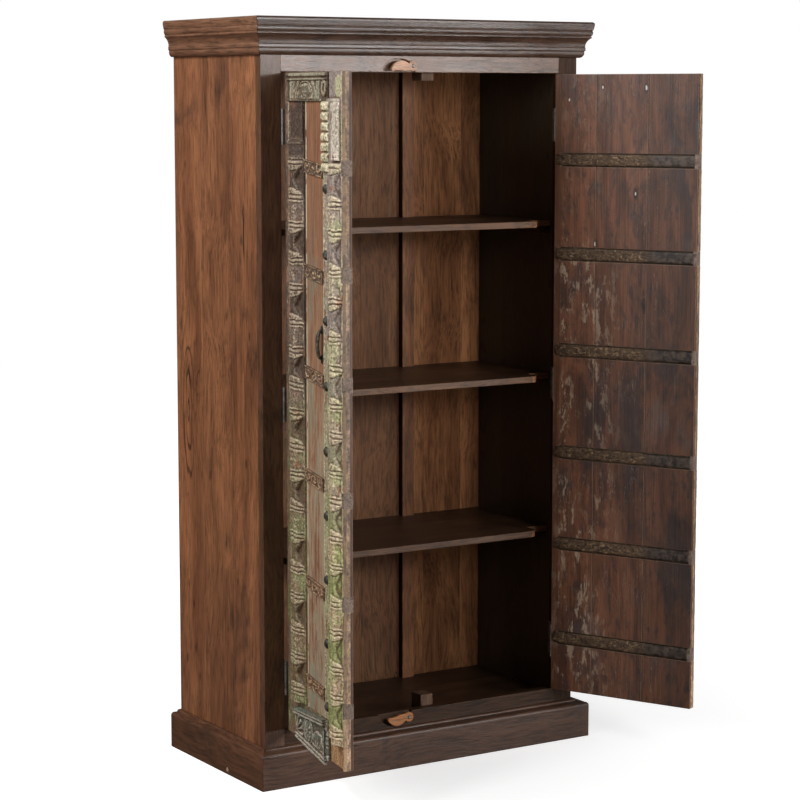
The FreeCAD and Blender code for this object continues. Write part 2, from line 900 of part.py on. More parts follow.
def case_pieces():
    side = side_panel()
    stile = face_stile()
    mullion = back_mullion()
    panel = back_panel_side()
    cornice_side = cornice_run(True)
    plinth_side = plinth_run(True)
    plug = plinth_plug()
    low, middle, high = shelf_tops
    return {
        "side_panel_left": side,
        "side_panel_right": mirrored(side),
        "face_stile_left": stile,
        "face_stile_right": mirrored(stile),
        "top_rail": top_rail(),
        "bottom_rail": bottom_rail(),
        "top_board": top_board(),
        "ceiling_board": ceiling_board(),
        "floor_board": floor_board(),
        "floor_bearers": floor_bearers(),
        "back_mullion_left": mullion,
        "back_mullion_right": mirrored(mullion),
        "back_panel_left": panel,
        "back_panel_centre": back_panel_centre(),
        "back_panel_right": mirrored(panel),
        "shelf_lower": shelf(low),
        "shelf_middle": shelf(middle),
        "shelf_upper": shelf(high),
        "shelf_cleats": shelf_cleats(),
        "stop_block_top": stop_block(ceiling_under - top_stop_drop, ceiling_under),
        "stop_block_bottom": stop_block(floor_top, floor_top + bottom_stop_height),
        "cornice_front": cornice_run(False),
        "cornice_left": cornice_side,
        "cornice_right": mirrored(cornice_side),
        "plinth_front": plinth_run(False),
        "plinth_left": plinth_side,
        "plinth_right": mirrored(plinth_side),
        "plinth_back": plinth_back(),
        "plinth_plugs": group([plug, mirrored(plug)]),
        "frame_hinge_leaves": frame_leaves(),
        "frame_hinge_screws": group([frame_screws(), mirrored(frame_screws())]),
        "hinge_pins": hinge_pins(),
        "latch_fixings": latch_fixings(),
        "latch_top": latch(*top_latch_pivot(), 1, 0),
        "latch_bottom": latch(*bottom_latch_pivot(), -1, bottom_latch_droop),
    }


def all_pieces():
    pieces = case_pieces()
    for name, shape in shut_door(True).items():
        pieces["door_left_" + name] = opened(shape, hinge_x, -left_open_angle)
    for name, shape in shut_door(False).items():
        pieces["door_right_" + name] = opened(mirrored(shape), -hinge_x, right_open_angle)
    return pieces


def flat_solids(shape):
    """The separate solids of a node, however deep they are grouped."""
    solids = shape.Solids
    return solids[0] if len(solids) == 1 else Part.makeCompound(solids)


os.makedirs("parts", exist_ok=True)
for name, shape in all_pieces().items():
    flat_solids(shape).exportStep("parts/" + name + ".step")
    print(name, len(shape.Solids), round(shape.Volume))
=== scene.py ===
import math

import bmesh
import bpy
import numpy as np
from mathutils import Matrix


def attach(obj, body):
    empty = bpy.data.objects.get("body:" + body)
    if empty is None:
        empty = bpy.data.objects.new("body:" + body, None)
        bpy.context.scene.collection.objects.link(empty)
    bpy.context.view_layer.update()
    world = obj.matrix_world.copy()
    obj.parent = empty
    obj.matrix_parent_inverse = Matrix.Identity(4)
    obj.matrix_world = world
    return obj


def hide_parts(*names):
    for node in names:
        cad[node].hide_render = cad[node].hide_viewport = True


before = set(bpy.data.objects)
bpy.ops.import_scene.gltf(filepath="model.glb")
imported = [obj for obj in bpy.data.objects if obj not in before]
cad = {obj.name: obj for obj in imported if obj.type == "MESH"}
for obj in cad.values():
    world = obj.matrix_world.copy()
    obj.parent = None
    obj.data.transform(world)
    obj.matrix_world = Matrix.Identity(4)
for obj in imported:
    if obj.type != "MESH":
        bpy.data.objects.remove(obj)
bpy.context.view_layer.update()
scene = bpy.context.scene

# Case sides and top board. The case is a newer carcass of reddish hardwood planks, glued edge
# to edge, stained brown and waxed; each side is three or four upright planks.


class Wire:
    """What leaves a node, worked with like a number."""

    def __init__(self, tree, socket):
        self.tree, self.socket = tree, socket

    def math(self, kind, other=0.0):
        return wired(self.tree, "ShaderNodeMath", self, other, operation=kind)

    def __add__(self, other):
        return self.math("ADD", other)

    __radd__ = __add__

    def __sub__(self, other):
        return self.math("SUBTRACT", other)

    def __rsub__(self, other):
        return wired(self.tree, "ShaderNodeMath", other, self, operation="SUBTRACT")

    def __mul__(self, other):
        return self.math("MULTIPLY", other)

    def __truediv__(self, other):
        return self.math("DIVIDE", other)

    def __abs__(self):
        return self.math("ABSOLUTE")


def feed(tree, socket, value):
    """Lead a wire or a plain value into a socket."""
    if isinstance(value, Wire):
        tree.links.new(value.socket, socket)
    elif isinstance(value, tuple) and len(socket.default_value) == 4 and len(value) == 3:
        socket.default_value = (*value, 1.0)
    elif value is not None:
        socket.default_value = value


def wired(tree, kind, *feeds, out=0, **settings):
    """A new node with its settings made and its sockets fed in turn, and the wire that leaves it."""
    node = tree.nodes.new(kind)
    for name, value in settings.items():
        setattr(node, name, value)
    for socket, value in zip(node.inputs, feeds):
        feed(tree, socket, value)
    return Wire(tree, node.outputs[out]) if node.outputs else None


class Finish:
    """A surface finish while it is being mixed."""

    def __init__(self, name):
        self.material = bpy.data.materials.new(name)
        self.material.use_nodes = True
        self.tree = self.material.node_tree
        self.tree.nodes.clear()
        shader = wired(self.tree, "ShaderNodeBsdfPrincipled")
        self.inputs = shader.socket.node.inputs
        wired(self.tree, "ShaderNodeOutputMaterial", shader)
        self.place = wired(self.tree, "ShaderNodeTexCoord", out="Object")

    def set(self, **values):
        for name, value in values.items():
            feed(self.tree, self.inputs[name.replace("_", " ").title()], value)
        return self.material

    def far(self, a, b):
        return (a * a + b * b).math("SQRT")

    def blend(self, share, a, b, kind="MIX"):
        return wired(
            self.tree, "ShaderNodeMix", share, *5 * [None], a, b, out=2, data_type="RGBA",
            blend_type=kind)

    def stretched(self, scale, shift=None, place=None):
        return wired(self.tree, "ShaderNodeMapping", place or self.place, shift, None, scale)

    def noise(self, scale, detail=4.0, stretch=None, shift=None, rough=0.55, twist=0.0, place=None):
        place = self.stretched(stretch, shift, place) if stretch else self.place
        return wired(
            self.tree, "ShaderNodeTexNoise", place, None, scale, detail, rough, *3 * [None], twist)

    def band(self, value, low, high, start=0.0, end=1.0):
        """From start to end as the value goes from low to high, smoothly."""
        return wired(
            self.tree, "ShaderNodeMapRange", value, low, high, start, end,
            interpolation_type="SMOOTHSTEP")

    def axes(self, place=None):
        x = wired(self.tree, "ShaderNodeSeparateXYZ", place or self.place)
        return [Wire(self.tree, socket) for socket in x.socket.node.outputs]

    def joined(self, x, y, z):
        return wired(self.tree, "ShaderNodeCombineXYZ", x, y, z)

    def vector(self, kind, a, b, out=0):
        return wired(self.tree, "ShaderNodeVectorMath", a, b, out=out, operation=kind)

    def laid(self, under, over, value, low, high, most=1.0):
        """One colour over another as the value goes from low to high."""
        return self.blend(self.band(value, low, high, 0.0, most), under, over)

    def shaded(self, colour, shade):
        return self.blend(1.0, colour, self.joined(shade, shade, shade), "MULTIPLY")

    def dimmed(self, shade, mark, left):
        """The shade brought down to a share of itself where the mark is."""
        return shade * self.band(mark, 0.0, 1.0, 1.0, left)

    def true_normal(self):
        return wired(self.tree, "ShaderNodeNewGeometry", out="True Normal")

    def worn_edge(self, radius):
        """How near a sharp outer or inner edge is, and the surface rounded over it."""
        soft = wired(self.tree, "ShaderNodeBevel", radius, samples=4)
        dot = self.vector("DOT_PRODUCT", soft, self.true_normal(), "Value")
        return self.band(dot, 1.0, 0.86), soft

    def relief(self, height, depth, under=None):
        return wired(self.tree, "ShaderNodeBump", None, depth, None, height, under)


def waxed_wood(
        name, dark, middle, light, grain=2, across=0, plank=0.30, start=0.0, seed=0.0, wax=0.42,
        knots=0.0, crack=None, swirl=None, inner=None, foot=1.0, gloss=0.5, face=None):
    """Planks with their grain along one axis, laid side by side along another."""
    wood = Finish(name)

    def along(others, own):
        """One value for the axis of the grain and one for the others."""
        return tuple(own if axis == grain else others for axis in range(3))

    axes = wood.axes()
    count = ((axes[across] - start) / plank).math("FLOOR")
    turn = wired(wood.tree, "ShaderNodeTexWhiteNoise", None, count + seed, noise_dimensions="1D")
    shift = wood.joined(turn * 7.3, turn * 3.1, turn * 11.7)
    drift = wood.noise(1.7, 2.0, (1.0, 1.0, 1.0), shift, 0.5)
    drift = (drift - 0.5) * 0.16
    sideways = wood.joined(*along(drift, 0.0))
    bent = wood.vector("ADD", wood.place, sideways)
    long = along(10.0, 0.9)
    figure = wood.noise(1.0, 4.0, long, shift, 0.6, 0.9, place=bent)
    rings = (figure * 11.0).math("FRACT")
    rings = wood.band(abs(rings - 0.5), 0.0, 0.5)
    pores = wood.noise(1.0, 4.0, along(190.0, 11.0), shift, 0.7, place=bent)
    patch = wood.noise(3.4, 6.0, (1.0, 1.0, 0.75), shift, 0.62, 0.6)
    stain = wood.noise(6.5, 6.0, (1.0, 1.0, 0.6), shift, 0.65, 0.5)
    colour = wood.laid(dark, light, figure, 0.32, 0.66)
    colour = wood.blend(rings * 0.30, colour, middle)
    colour = wood.laid(colour, middle, patch, 0.35, 0.65, 0.65)
    soot = tuple(0.34 * c + 0.006 for c in dark)
    colour = wood.laid(colour, soot, stain, 0.53, 0.72, 0.72)
    shade = wood.band(pores, 0.30, 0.62, 0.52, 1.24) + (turn - 0.5) * 0.30
    split = wood.noise(1.0, 4.0, tuple(0.55 * c for c in long), (1.9, 0.4, 0.8), 0.5, 0.5, place=bent)
    split = wood.band(abs(split - 0.5), 0.0035, 0.0008)
    split = split * wood.band(wood.noise(4.0, 3.0, (1.0, 1.0, 1.0), (5.0, 1.0, 2.0)), 0.60, 0.66)
    shade = wood.dimmed(shade, split, 0.25)
    # Darker towards the bottom, down to the share foot: painted shade, as the lower parts get less
    # light.
    if foot < 1.0:
        shade = shade * wood.band(axes[2], 0.10, 1.05, foot, 1.0)
    # Faces turned along one axis get face's factor: painted shade on the mullions' sides, painted light
    # on the shelves' front edges.
    if face:
        turned = abs(wood.axes(wood.true_normal())[face[0]])
        shade = shade * wood.band(turned, 0.5, 0.8, 1.0, face[1])
    if swirl:
        beside = axes[across] + figure * 0.02 - swirl[0]
        above = (axes[grain] - swirl[1]) * 0.17
        reach = wood.far(beside, above)
        growth = (reach * 80.0 + figure * 3.0).math("FRACT")
        growth = wood.band(abs(growth - 0.5), 0.30, 0.46)
        growth = growth * wood.band(reach, 0.055, 0.020, 0.0, 0.9)
        shade = wood.dimmed(shade, growth, 0.25)
    if crack:
        wander = wood.noise(9.0, 4.0, (0.0, 0.0, 1.0), rough=0.6)
        line = axes[across] - crack[0] + (wander - 0.5) * 0.03
        near_end = wood.band(axes[grain], crack[1], crack[1] + 0.05)
        near_end = near_end * wood.band(axes[grain], crack[2], crack[2] - 0.05)
        line = wood.band(abs(line), 0.0045, 0.0012)
        shade = wood.dimmed(shade, line * near_end, 0.12)
    if knots:
        spot = wired(wood.tree, "ShaderNodeTexVoronoi", wood.stretched(along(3.4, 1.5), shift))
        core = wood.band(spot, 0.03, 0.16)
        shade = shade * wood.band(core, 0.0, 1.0, 1.0 - knots)
    edge, rounded = wood.worn_edge(0.003)
    seam = ((axes[across] - start) / plank).math("FRACT")
    seam = abs(seam - 0.5) * 2.0
    seam = wood.band(seam, 1.0 - 0.0016 / plank, 1.0)
    shade = wood.dimmed(shade, seam, 0.45)
    scuff = wood.band(wood.noise(55.0, 4.0), 0.42, 0.62)
    shade = shade + edge * scuff * 0.8
    # The inner faces of the sides, inside the case, are painted near-black: painted shade, as little
    # light gets in.
    if inner:
        inside = wood.band(abs(axes[0]), inner + 0.004, inner + 0.001, 0.0, 0.9)
        colour = wood.blend(inside, colour, (0.0220, 0.0225, 0.0155))
    colour = wood.shaded(colour, shade)
    wood.inputs["Specular IOR Level"].default_value = gloss
    rough = wax + (pores - 0.5) * 0.25
    rough = rough + wood.band(patch, 0.3, 0.7) * 0.08
    height = pores + figure * 1.4 - seam
    return wood.set(base_color=colour, roughness=rough, normal=wood.relief(height, 0.0005, rounded))


def dress(names, material):
    """Give CAD nodes that keep their shape one finish."""
    for node_name in names:
        piece = cad[node_name]
        piece.data.materials.clear()
        piece.data.materials.append(material)


# Through inner, the sides' inner faces get painted shade, near-black.
dress(["side_panel_left", "side_panel_right"], waxed_wood(
    "side_planks", (0.088, 0.031, 0.012), (0.182, 0.067, 0.027), (0.300, 0.122, 0.051), across=1,
    plank=0.152, start=0.030, knots=0.55, crack=(0.112, 1.29, 1.47), swirl=(0.430, 0.90), inner=0.452))
dress(["top_board"], waxed_wood(
    "top_planks", (0.090, 0.036, 0.016), (0.145, 0.060, 0.027), (0.20, 0.092, 0.042), grain=0, across=1,
    plank=0.115, start=0.021, seed=4.0))

# Face frame. Two stiles and two rails of the same wood, planed smooth and darker than the sides; they
# are tenoned together and glued to the front of the case. The right stile and the bottom rail have
# much darker copies of the finish: painted shade.

dress(["face_stile_left"], waxed_wood(
    "stile_wood", (0.055, 0.022, 0.011), (0.088, 0.038, 0.018), (0.125, 0.058, 0.028), plank=0.10,
    start=-0.5, seed=11.0, wax=0.36))
# The right stile's finish is a darker copy of the left one's: painted shade from the open right door.
dress(["face_stile_right"], waxed_wood(
    "right_stile_shaded_wood", (0.024, 0.011, 0.006), (0.040, 0.018, 0.009), (0.056, 0.027, 0.014), plank=0.10,
    start=-0.5, seed=12.0, wax=0.50, gloss=0.15))
dress(["top_rail"], waxed_wood(
    "rail_wood", (0.092, 0.049, 0.031), (0.138, 0.074, 0.046), (0.190, 0.107, 0.069), grain=0, across=2,
    start=-0.05, seed=15.0, wax=0.25))
# The bottom rail's finish is a darker copy of the top rail's: painted shade, as less light falls low on
# the front.
dress(["bottom_rail"], waxed_wood(
    "low_rail_shaded_wood", (0.022, 0.010, 0.005), (0.034, 0.016, 0.008), (0.047, 0.023, 0.012), grain=0,
    across=2, start=-0.05, seed=16.0, wax=0.40, gloss=0.2))

# Cornice. Three lengths of built-up moulding, mitred at the front corners, nailed on and
# waxed; the front one is darker than the two at the sides.

dress(["cornice_front"], waxed_wood(
    "front_moulding", (0.033, 0.017, 0.011), (0.058, 0.030, 0.020), (0.086, 0.047, 0.031), grain=0,
    across=1, start=-0.10, seed=21.0, wax=0.24))
dress(["cornice_left", "cornice_right"], waxed_wood(
    "side_moulding", (0.095, 0.040, 0.021), (0.155, 0.070, 0.037), (0.225, 0.112, 0.062), grain=1,
    across=0, plank=0.50, start=-0.75, seed=23.0, wax=0.36))

# Plinth. Thick boards with a rounded top edge, mitred round the foot of the case, and plain
# framing hidden behind them; the wooden plugs in its sides cover screws.

dress(["plinth_front"], waxed_wood(
    "plinth_wood", (0.034, 0.014, 0.007), (0.056, 0.024, 0.012), (0.080, 0.037, 0.019), grain=0,
    across=2, plank=0.20, start=-0.05, seed=31.0, wax=0.38, knots=0.3))
dress(["plinth_left", "plinth_right"], waxed_wood(
    "plinth_side_wood", (0.056, 0.020, 0.009), (0.094, 0.036, 0.016), (0.134, 0.056, 0.026), grain=1,
    across=2, plank=0.20, start=-0.05, seed=33.0, wax=0.40))
dress(["plinth_back", "floor_bearers"], waxed_wood(
    "hidden_framing", (0.15, 0.085, 0.045), (0.21, 0.125, 0.068), (0.28, 0.175, 0.10), grain=0,
    across=2, plank=0.12, start=-0.02, seed=37.0, wax=0.62))
dress(["plinth_plugs"], waxed_wood(
    "plug_wood", (0.26, 0.15, 0.08), (0.34, 0.21, 0.12), (0.42, 0.28, 0.17), grain=1, across=2,
    plank=0.20, seed=39.0, wax=0.55))

# Back. Three thin panels stand in the grooves of two upright mullions; the outer panels are
# paler and figured, and the middle one is redder and darker.

# The back panels and mullions darken towards the bottom (foot): painted shade.
dress(["back_panel_left", "back_panel_right"], waxed_wood(
    "back_panel_gold", (0.140, 0.053, 0.0205), (0.238, 0.092, 0.037), (0.405, 0.180, 0.073),
    plank=0.121, start=-0.457, seed=41.0, knots=0.35, foot=0.62, gloss=0.2))
dress(["back_panel_centre"], waxed_wood(
    "back_panel_red", (0.072, 0.029, 0.012), (0.121, 0.051, 0.022), (0.177, 0.083, 0.037), plank=0.131,
    start=-0.196, seed=47.0, wax=0.50, foot=0.75, gloss=0.15))
# The mullions' side faces are darkened (face): painted shade.
dress(["back_mullion_left", "back_mullion_right"], waxed_wood(
    "mullion_wood", (0.099, 0.040, 0.017), (0.166, 0.069, 0.030), (0.240, 0.107, 0.048),
    start=-0.35, seed=53.0, wax=0.40, foot=0.8, gloss=0.2, face=(0, 0.12)))

# Shelves, floor and ceiling. Solid boards cut back at their front corners for the door hinges,
# carried by cleats screwed to the sides; the stop blocks for the doors are glued and nailed.

# The shelves and boards darken towards the bottom (foot): painted shade.
shelf_wood = waxed_wood(
    "shelf_wood", (0.044, 0.019, 0.009), (0.073, 0.033, 0.016), (0.106, 0.055, 0.028), grain=0,
    across=1, plank=0.131, start=0.0475, seed=61.0, wax=0.40, foot=0.45, gloss=0.25, face=(1, 3.2))
# The shelves' front edges are made much lighter (face) than their dark tops: painted light.
dress(["shelf_lower", "shelf_middle", "shelf_upper"], shelf_wood)
dress(["floor_board", "ceiling_board"], shelf_wood)
dress(["shelf_cleats"], waxed_wood(
    "cleat_wood", (0.045, 0.022, 0.011), (0.075, 0.037, 0.019), (0.105, 0.058, 0.030), grain=1,
    across=2, plank=0.50, seed=67.0, wax=0.50, gloss=0.2))
dress(["stop_block_top", "stop_block_bottom"], waxed_wood(
    "stop_block_wood", (0.064, 0.032, 0.017), (0.096, 0.051, 0.029), (0.134, 0.078, 0.047), plank=0.20,
    seed=71.0, wax=0.52, gloss=0.2))

# Butt hinges. Pressed steel with a plain pin, gone dull and spotted with rust; three to a door,
# let in flush and held by countersunk screws. The fixings of the latches look the same.

steel = Finish("hinge_steel")
stain = steel.noise(60.0, 6.0)
rust = steel.band(steel.noise(210.0, 5.0, rough=0.7), 0.56, 0.72)
steel_colour = steel.laid((0.13, 0.125, 0.12), (0.30, 0.29, 0.275), stain, 0.3, 0.7)
steel_colour = steel.blend(rust, steel_colour, (0.16, 0.070, 0.030))
steel.set(
    base_color=steel_colour, metallic=steel.band(rust, 0.0, 1.0, 0.85, 0.1),
    roughness=steel.band(stain, 0.3, 0.7, 0.34, 0.58), normal=steel.relief(stain, 0.0004))
dress(["frame_hinge_leaves", "frame_hinge_screws", "hinge_pins", "door_left_hinge_leaves",
       "door_right_hinge_leaves", "latch_fixings"], steel.material)

# Turn latches. Two whittled tongues of wood, each on one round-headed screw: a pale one in the
# scoop of the top rail and a brown one in that of the bottom rail.

latch_wood = {
    "latch_top": waxed_wood(
        "pale_latch_wood", (0.26, 0.133, 0.076), (0.37, 0.196, 0.117), (0.44, 0.255, 0.160), grain=0,
        across=2, seed=73.0, wax=0.44),
    "latch_bottom": waxed_wood(
        "brown_latch_wood", (0.135, 0.053, 0.019), (0.225, 0.092, 0.034), (0.30, 0.128, 0.050), grain=0,
        across=2, seed=75.0, wax=0.50, gloss=0.3)}
arris = 0.0024
for latch_name, wood in latch_wood.items():
    mesh = cad[latch_name].data.copy()
    mesh.name = latch_name + "_carved"
    latch = bpy.data.objects.new(latch_name + "_carved", mesh)
    scene.collection.objects.link(latch)
    work = bmesh.new()
    work.from_mesh(mesh)
    bmesh.ops.remove_doubles(work, verts=work.verts, dist=1e-5)
    work.to_mesh(mesh)
    work.free()
    rounding = latch.modifiers.new("rounding", "REMESH")
    rounding.mode = "VOXEL"
    rounding.voxel_size = arris / 3
    rubbing = latch.modifiers.new("rubbing", "SMOOTH")
    rubbing.iterations = 7
    rubbing.factor = 0.5
    whittled = latch.evaluated_get(bpy.context.evaluated_depsgraph_get())
    latch.data = bpy.data.meshes.new_from_object(whittled)
    latch.modifiers.clear()
    latch.data.materials.clear()
    latch.data.materials.append(wood)
    latch.data.shade_smooth()
    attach(latch, latch_name)
    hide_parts(latch_name)

# Door boards. Each door is three old upright planks of dark reddish wood, edge to edge; the
# outside was painted long ago, the inside is oiled, scratched and spotted with pale residue.

door_swing = {"left": math.radians(100.0), "right": math.radians(-115.5)}
pin_x, pin_y, edge_x, face_y = 412.0, 16.5, 410.0, 23.0  # millimetres, with the door shut
door_pivot = {"left": (-pin_x / 1000, pin_y / 1000), "right": (pin_x / 1000, pin_y / 1000)}


def shut_place(wood, side):
    """Where a point of the door would be with the door shut, in the case's axes."""
    pivot = (*door_pivot[side], 0.0)
    moved = wood.vector("SUBTRACT", wood.place, pivot)
    swing = (0.0, 0.0, door_swing[side])
    wood.place = wired(wood.tree, "ShaderNodeMapping", moved, pivot, swing)
    x, y, z = wood.axes()
    from_hinge = x + edge_x / 1000 if side == "left" else edge_x / 1000 - x
    return from_hinge, face_y / 1000 - y, z


def sawn_edge(finish, across, up, flake, coat, bare, high, top):
    """The door's free edge over its coat: bare wood, paler at the foot and at the top."""
    bare = finish.laid(bare, (0.075, 0.050, 0.035), flake, 0.46, 0.60, 0.75)
    level = finish.band(up, 0.25, 0.42, 1.55, high) + finish.band(up, 1.25, 1.50, 0.0, top)
    return finish.laid(coat, finish.shaded(bare, level), across, 0.4072, 0.4078)


def old_boards(side):
    wood = Finish("old_boards_" + side)
    across, out, up = shut_place(wood, side)
    first = wood.band(across, 0.1205, 0.1215)
    second = wood.band(across, 0.2685, 0.2695)
    count = first + second
    shift = wood.joined(count * 3.7, 0.0, count * 1.9)
    figure = wood.noise(1.0, 5.0, (11.0, 11.0, 2.2), shift, 0.62, 1.6)
    pores = wood.noise(1.0, 4.0, (260.0, 260.0, 4.0), shift, 0.65)
    cloud = wood.noise(5.5, 5.0, (1.6, 1.0, 1.0), (0.3, 0.0, 0.7), 0.6)
    inside = wood.laid((0.066, 0.027, 0.015), (0.155, 0.064, 0.034), figure, 0.32, 0.66)
    bloom = wood.band(cloud, 0.56, 0.74)
    soot = wood.noise(8.0, 6.0, (1.3, 1.0, 0.55), (4.0, 0.0, 0.2), 0.66, 0.8)
    inside = wood.laid(inside, (0.034, 0.025, 0.024), soot, 0.47, 0.66, 0.8)
    fret = wood.noise(1.0, 6.0, (62.0, 62.0, 21.0), (0.0, 0.0, 5.2), 0.72)
    inside = wood.laid(inside, (0.030, 0.021, 0.020), fret, 0.50, 0.66, 0.75)
    for nail_s, nail_z, dark, pale in (
            (0.138, 1.731, 0.006, 0.0022), (0.262, 1.729, 0.007, 0.0030), (0.041, 1.700, 0.004, 0.0016),
            (0.262, 1.178, 0.011, 0.0), (0.235, 1.462, 0.010, 0.0030), (0.120, 1.330, 0.007, 0.0020)):
        beside = across - nail_s
        above = (up - nail_z) * 0.42
        reach = wood.far(beside, above)
        reach = reach + (fret - 0.5) * 0.012
        inside = wood.laid(inside, (0.014, 0.010, 0.009), reach, dark, 0.4 * dark, 0.85)
        if pale:
            inside = wood.laid(inside, (0.50, 0.47, 0.43), reach, pale, 0.4 * pale)
    inside = wood.blend(bloom * 0.55, inside, (0.115, 0.090, 0.085))
    drag = wood.noise(1.0, 3.0, (60.0, 60.0, 9.0), (0.0, 0.0, 3.1), 0.5, 0.8)
    broken = wood.noise(7.0, 3.0, (1.0, 1.0, 0.8), (2.2, 0.0, 0.4))
    marks = wood.band(abs(drag - 0.5), 0.006, 0.001) * wood.band(broken, 0.50, 0.60)
    inside = wood.blend(marks * 0.6, inside, (0.26, 0.195, 0.15))
    left_over = wood.noise(42.0, 7.0, (1.0, 1.0, 0.38), (1.3, 0.2, 0.6), 0.74)
    where = wood.band(up, 1.45, 1.25, 0.2, 1.0) * wood.band(cloud, 0.40, 0.52)
    where = wood.band(across, 0.24, 0.06) * where
    left_over = wood.band(left_over, 0.525, 0.570) * where
    inside = wood.blend(left_over * 0.85, inside, (0.31, 0.235, 0.165))
    fade = wood.band(across, 0.05, 0.40, 1.40, 0.78)
    inside = wood.shaded(inside, fade)
    bare = wood.band(across, 0.024, 0.015)
    inside = wood.blend(bare * 0.75, inside, (0.115, 0.046, 0.020))
    outside = wood.laid((0.120, 0.066, 0.040), (0.290, 0.180, 0.125), figure, 0.30, 0.70)
    green = wood.laid((0.150, 0.155, 0.060), (0.080, 0.058, 0.046), up, 0.60, 1.25)
    flake = wood.noise(60.0, 6.0, (1.0, 1.0, 0.35), rough=0.7)
    outside = wood.laid(outside, green, flake, 0.44, 0.56)
    outside = wood.laid(outside, (0.40, 0.33, 0.23), flake, 0.56, 0.66, 0.8)
    groove = wood.band(across, 0.120, 0.137) * wood.band(up, 0.95, 1.10)
    outside = wood.blend(groove, outside, (0.055, 0.033, 0.021))
    crumb = wood.noise(170.0, 6.0, rough=0.72)
    end_face = wood.laid((0.205, 0.127, 0.072), (0.410, 0.275, 0.172), figure, 0.35, 0.65)
    outside = sawn_edge(wood, across, up, flake, outside, end_face, 0.80, 0.25)
    outside = wood.shaded(outside, wood.band(crumb, 0.3, 0.7, 0.45, 1.6))
    colour = wood.laid(inside, outside, out, -0.0105, -0.0085)
    seam = wood.band(abs(across - 0.121), 0.0012, 0.0002)
    seam = seam + wood.band(abs(across - 0.269), 0.0012, 0.0002)
    edge, rounded = wood.worn_edge(0.0025)
    shade = wood.band(pores, 0.25, 0.62, 0.66, 1.10)
    shade = wood.dimmed(shade, seam, 0.35)
    colour = wood.shaded(colour, shade)
    colour = wood.blend(edge * 0.7, colour, (0.34, 0.235, 0.160))
    rough = wood.band(cloud, 0.3, 0.7, 0.40, 0.66)
    height = pores + figure * 2.0 - (seam + marks * 0.6)
    return wood.set(base_color=colour, roughness=rough, normal=wood.relief(height, 0.0007, rounded))


for side in door_swing:
    dress([f"door_{side}_boards"], old_boards(side))

# Carved stiles. The outer stile of each door is a strip of square blocks with waisted
# balusters between them, cut from one plank and worn, and painted grey above and green below.


def on_door(side, s, z, t):
    """Points in metres from places across, up and outwards on a door, in millimetres."""
    turn, s, t = abs(door_swing[side]), s + (pin_x - edge_x), (face_y - pin_y) - t
    x = -pin_x + s * math.cos(turn) + t * math.sin(turn)
    y = pin_y - s * math.sin(turn) + t * math.cos(turn)
    return np.stack([x if side == "left" else -x, y, z], 1) / 1000.0


def closed_piece(name, points, faces, crease, material):
    """A closed mesh with its faces turned outwards and its creases kept sharp."""
    mesh = bpy.data.meshes.new(name)
    mesh.from_pydata(points.tolist(), [], faces)
    work = bmesh.new()
    work.from_mesh(mesh)
    bmesh.ops.recalc_face_normals(work, faces=work.faces)
    work.to_mesh(mesh)
    work.free()
    mesh.shade_smooth()
    mesh.set_sharp_from_angle(angle=math.radians(crease))
    mesh.materials.append(material)
    piece = bpy.data.objects.new(name, mesh)
    scene.collection.objects.link(piece)
    return piece


def carve(name, side, s, z, t, back, materials, node_name, zone=0.0):
    """A closed piece on a door from rows of points: across and up the door and outwards, in mm."""
    rows, columns = t.shape
    s, z = np.broadcast_to(s, t.shape), np.broadcast_to(z, t.shape)
    around = t.copy()
    for _ in range(3):
        wide = np.pad(around, 2, "edge")
        around = (wide[:-4, 2:-2] + wide[4:, 2:-2] + wide[2:-2, :-4] + wide[2:-2, 4:] + around) / 5
    raised = unit((t - around) / 2.0 + 0.5)
    s_all = np.concatenate([s.ravel(), s[:, 0], s[:, -1]])
    z_all = np.concatenate([z.ravel(), z[:, 0], z[:, -1]])
    t_all = np.concatenate([t.ravel(), np.full(2 * rows, back)])
    points = on_door(side, s_all, z_all, t_all)
    number = np.arange(rows * columns).reshape(rows, columns)
    left, right = rows * columns + np.arange(rows), rows * columns + rows + np.arange(rows)

    def strips(a, b):
        return np.stack([a[:-1], b[:-1], b[1:], a[1:]], 1)

    quads = np.concatenate(
        [strips(number[:, i], number[:, i + 1]) for i in range(columns - 1)]
        + [strips(left, number[:, 0]), strips(number[:, -1], right), strips(right, left)])
    faces = quads.tolist() + [
        [int(left[0]), int(right[0])] + number[0, ::-1].tolist(),
        [int(right[-1]), int(left[-1])] + number[-1].tolist()]
    piece = closed_piece(f"door_{side}_{name}", points, faces, 55, materials[side])
    for mark_name, values in (("raised", raised), ("zone", np.broadcast_to(zone, t.shape))):
        mark = piece.data.attributes.new(mark_name, "FLOAT", "POINT")
        filled = np.concatenate([values.ravel(), np.full(2 * rows, 0.5)])
        mark.data.foreach_set("value", filled.astype(np.float32))
    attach(piece, f"door_{side}")
    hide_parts(f"door_{side}_{node_name}")


def rubbed(t):
    """The surface worn softer."""
    wide = np.pad(t, 1, "edge")
    return (4 * t + wide[:-2, 1:-1] + wide[2:, 1:-1] + wide[1:-1, :-2] + wide[1:-1, 2:]) / 8


def unit(values):
    """Values held between nothing and one."""
    return np.clip(values, 0.0, 1.0)


def wavering(shape, coarse, depth, seed):
    """Slow unevenness of hand work."""
    dice = np.random.default_rng(seed)
    field = dice.normal(size=(shape[0] // coarse + 3, shape[1] // coarse + 3))
    rows = np.linspace(0, field.shape[0] - 1.001, shape[0])
    columns = np.linspace(0, field.shape[1] - 1.001, shape[1])
    r, c = rows.astype(int), columns.astype(int)
    a, b = (rows - r)[:, None], (columns - c)[None, :]
    low, high = field[r], field[r + 1]
    return depth * (
        (low[:, c] * (1 - b) + low[:, c + 1] * b) * (1 - a)
        + (high[:, c] * (1 - b) + high[:, c + 1] * b) * a)


